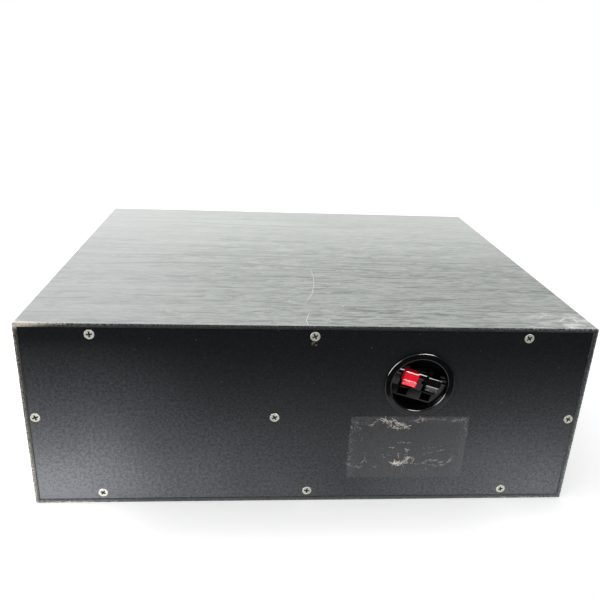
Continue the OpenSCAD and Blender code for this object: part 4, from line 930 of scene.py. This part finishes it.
# Pale table and a soft white studio: open towards the front of the speaker and above, dim behind the camera
studio = {
    "tableX": 0.9, "tableY": (-1.2, 0.36), "tableZ": -0.0004, "table": (0.86, 0.86, 0.86),
    "lift": 0.34, "fade": (0.19, 0.34),          # the table's own glow, and where mirrors lose it along Y
    "dim": 0.55, "mirroredDim": 0.03, "bright": 1.05, "brightSide": (-0.50, 0.40, 0.72, 1.25),
}


def makeTable(settings):
    finish, tree, _ = startFinish("paleTable")
    output = tree.nodes["Material Output"]
    tree.nodes.remove(tree.nodes["Principled BSDF"])
    matt = tree.nodes.new("ShaderNodeBsdfDiffuse")
    grit = speckle(tree, objectPlace(tree), 0.02, 2.0)
    worn = tuple(level * 0.985 for level in settings["table"])
    tree.links.new(tint(tree, grit, settings["table"], worn), matt.inputs["Color"])
    glow = tree.nodes.new("ShaderNodeEmission")
    rays = tree.nodes.new("ShaderNodeLightPath")
    _, py, _ = axes(tree, objectPlace(tree))
    fade = step(tree, py, *settings["fade"], 1.0, 0.0)
    mirrored = calc(tree, "MAXIMUM", rays.outputs["Is Glossy Ray"], rays.outputs["Is Transmission Ray"])
    seen = calc(tree, "MAXIMUM", rays.outputs["Is Camera Ray"], calc(tree, "MULTIPLY", mirrored, fade))
    tree.links.new(calc(tree, "MULTIPLY", seen, settings["lift"]), glow.inputs["Strength"])
    both = tree.nodes.new("ShaderNodeAddShader")
    tree.links.new(matt.outputs[0], both.inputs[0])
    tree.links.new(glow.outputs[0], both.inputs[1])
    tree.links.new(both.outputs[0], output.inputs["Surface"])
    mesh = bmesh.new()
    lowY, highY = settings["tableY"]
    spot = Matrix.Translation((0, (lowY + highY) / 2, settings["tableZ"]))
    spot = spot @ Matrix.Diagonal((2 * settings["tableX"], highY - lowY, 1, 1))
    bmesh.ops.create_grid(mesh, x_segments=4, y_segments=4, size=0.5, matrix=spot)
    data = bpy.data.meshes.new("paleTable")
    mesh.to_mesh(data)
    mesh.free()
    data.materials.append(finish)
    table = bpy.data.objects.new("paleTable", data)
    scene.collection.objects.link(table)


def makeWorld(settings):
    world = bpy.data.worlds.new("softStudio")
    scene.world = world
    world.use_nodes = True
    tree = world.node_tree
    background = tree.nodes["Background"]
    coords = tree.nodes.new("ShaderNodeTexCoord")
    nx, ny, nz = axes(tree, coords.outputs["Generated"])
    facing = calc(tree, "MULTIPLY_ADD", nz, 0.9, calc(tree, "MULTIPLY", ny, -1.0))
    rays = tree.nodes.new("ShaderNodeLightPath")
    dim = tint(tree, rays.outputs["Is Glossy Ray"], (settings["dim"],) * 3, (settings["mirroredDim"],) * 3)
    level = step(tree, facing, -0.55, 0.35, dim, settings["bright"])
    level = calc(tree, "MULTIPLY", level, step(tree, nx, *settings["brightSide"]))
    seen = rays.outputs["Is Camera Ray"]
    mixed = calc(tree, "ADD", calc(tree, "MULTIPLY", level, calc(tree, "SUBTRACT", 1.0, seen)), seen)
    tree.links.new(mixed, background.inputs["Strength"])
    background.inputs["Color"].default_value = (1, 1, 1, 1)


# Lamps: name, place, aim, size, watts. The panes are seen only as reflections in the terminal and the screws
lamps = [
    ("leftSoftbox", (0.95, -0.45, 0.95), (0.05, 0.0, 0.10), (0.8, 0.8), 9.0),
    ("tableGlow", (0.02, 0.262, 0.004), (0.02, 0.18, 0.0), (0.46, 0.02), 0.10),
    ("leftGlow", (0.205, 0.235, 0.006), (0.205, 0.18, 0.010), (0.10, 0.02), 0.050),
    ("rightGlow", (-0.205, 0.245, 0.006), (-0.205, 0.18, 0.010), (0.10, 0.02), 0.020),
    ("leftPane", (0.84, 0.66, 0.45), (-0.086, 0.18, 0.11), (1.0, 0.8), 46.0),
    ("rightPane", (-0.52, 0.72, 0.95), (-0.086, 0.18, 0.11), (0.7, 0.5), 26.0),
    ("topPane", (-0.60, 0.28, 1.00), (-0.086, 0.18, 0.11), (0.45, 0.45), 15.0),
]


def makeLamps(rows):
    mirrors = bpy.data.collections.new("mirrors")
    for piece in (cadNodes["terminal_cup"], cadNodes["red_lever"], cadNodes["black_lever"], screwPiece):
        mirrors.objects.link(piece)
    for name, place, aim, size, watts in rows:
        mirrored = name.endswith("Pane")
        lampData = bpy.data.lights.new(name, "AREA")
        lampData.shape = "RECTANGLE"
        lampData.size, lampData.size_y = size
        lampData.energy = watts
        lamp = bpy.data.objects.new(name, lampData)
        lamp.location = place
        lamp.rotation_mode = "QUATERNION"
        lamp.rotation_quaternion = (Vector(aim) - Vector(place)).to_track_quat("-Z", "Y")
        lamp.visible_camera = False
        lamp.visible_glossy = mirrored
        lamp.visible_diffuse = not mirrored
        if mirrored:
            lamp.light_linking.receiver_collection = mirrors
        scene.collection.objects.link(lamp)


makeTable(studio)
makeWorld(studio)
makeLamps(lamps)
print("studio made")
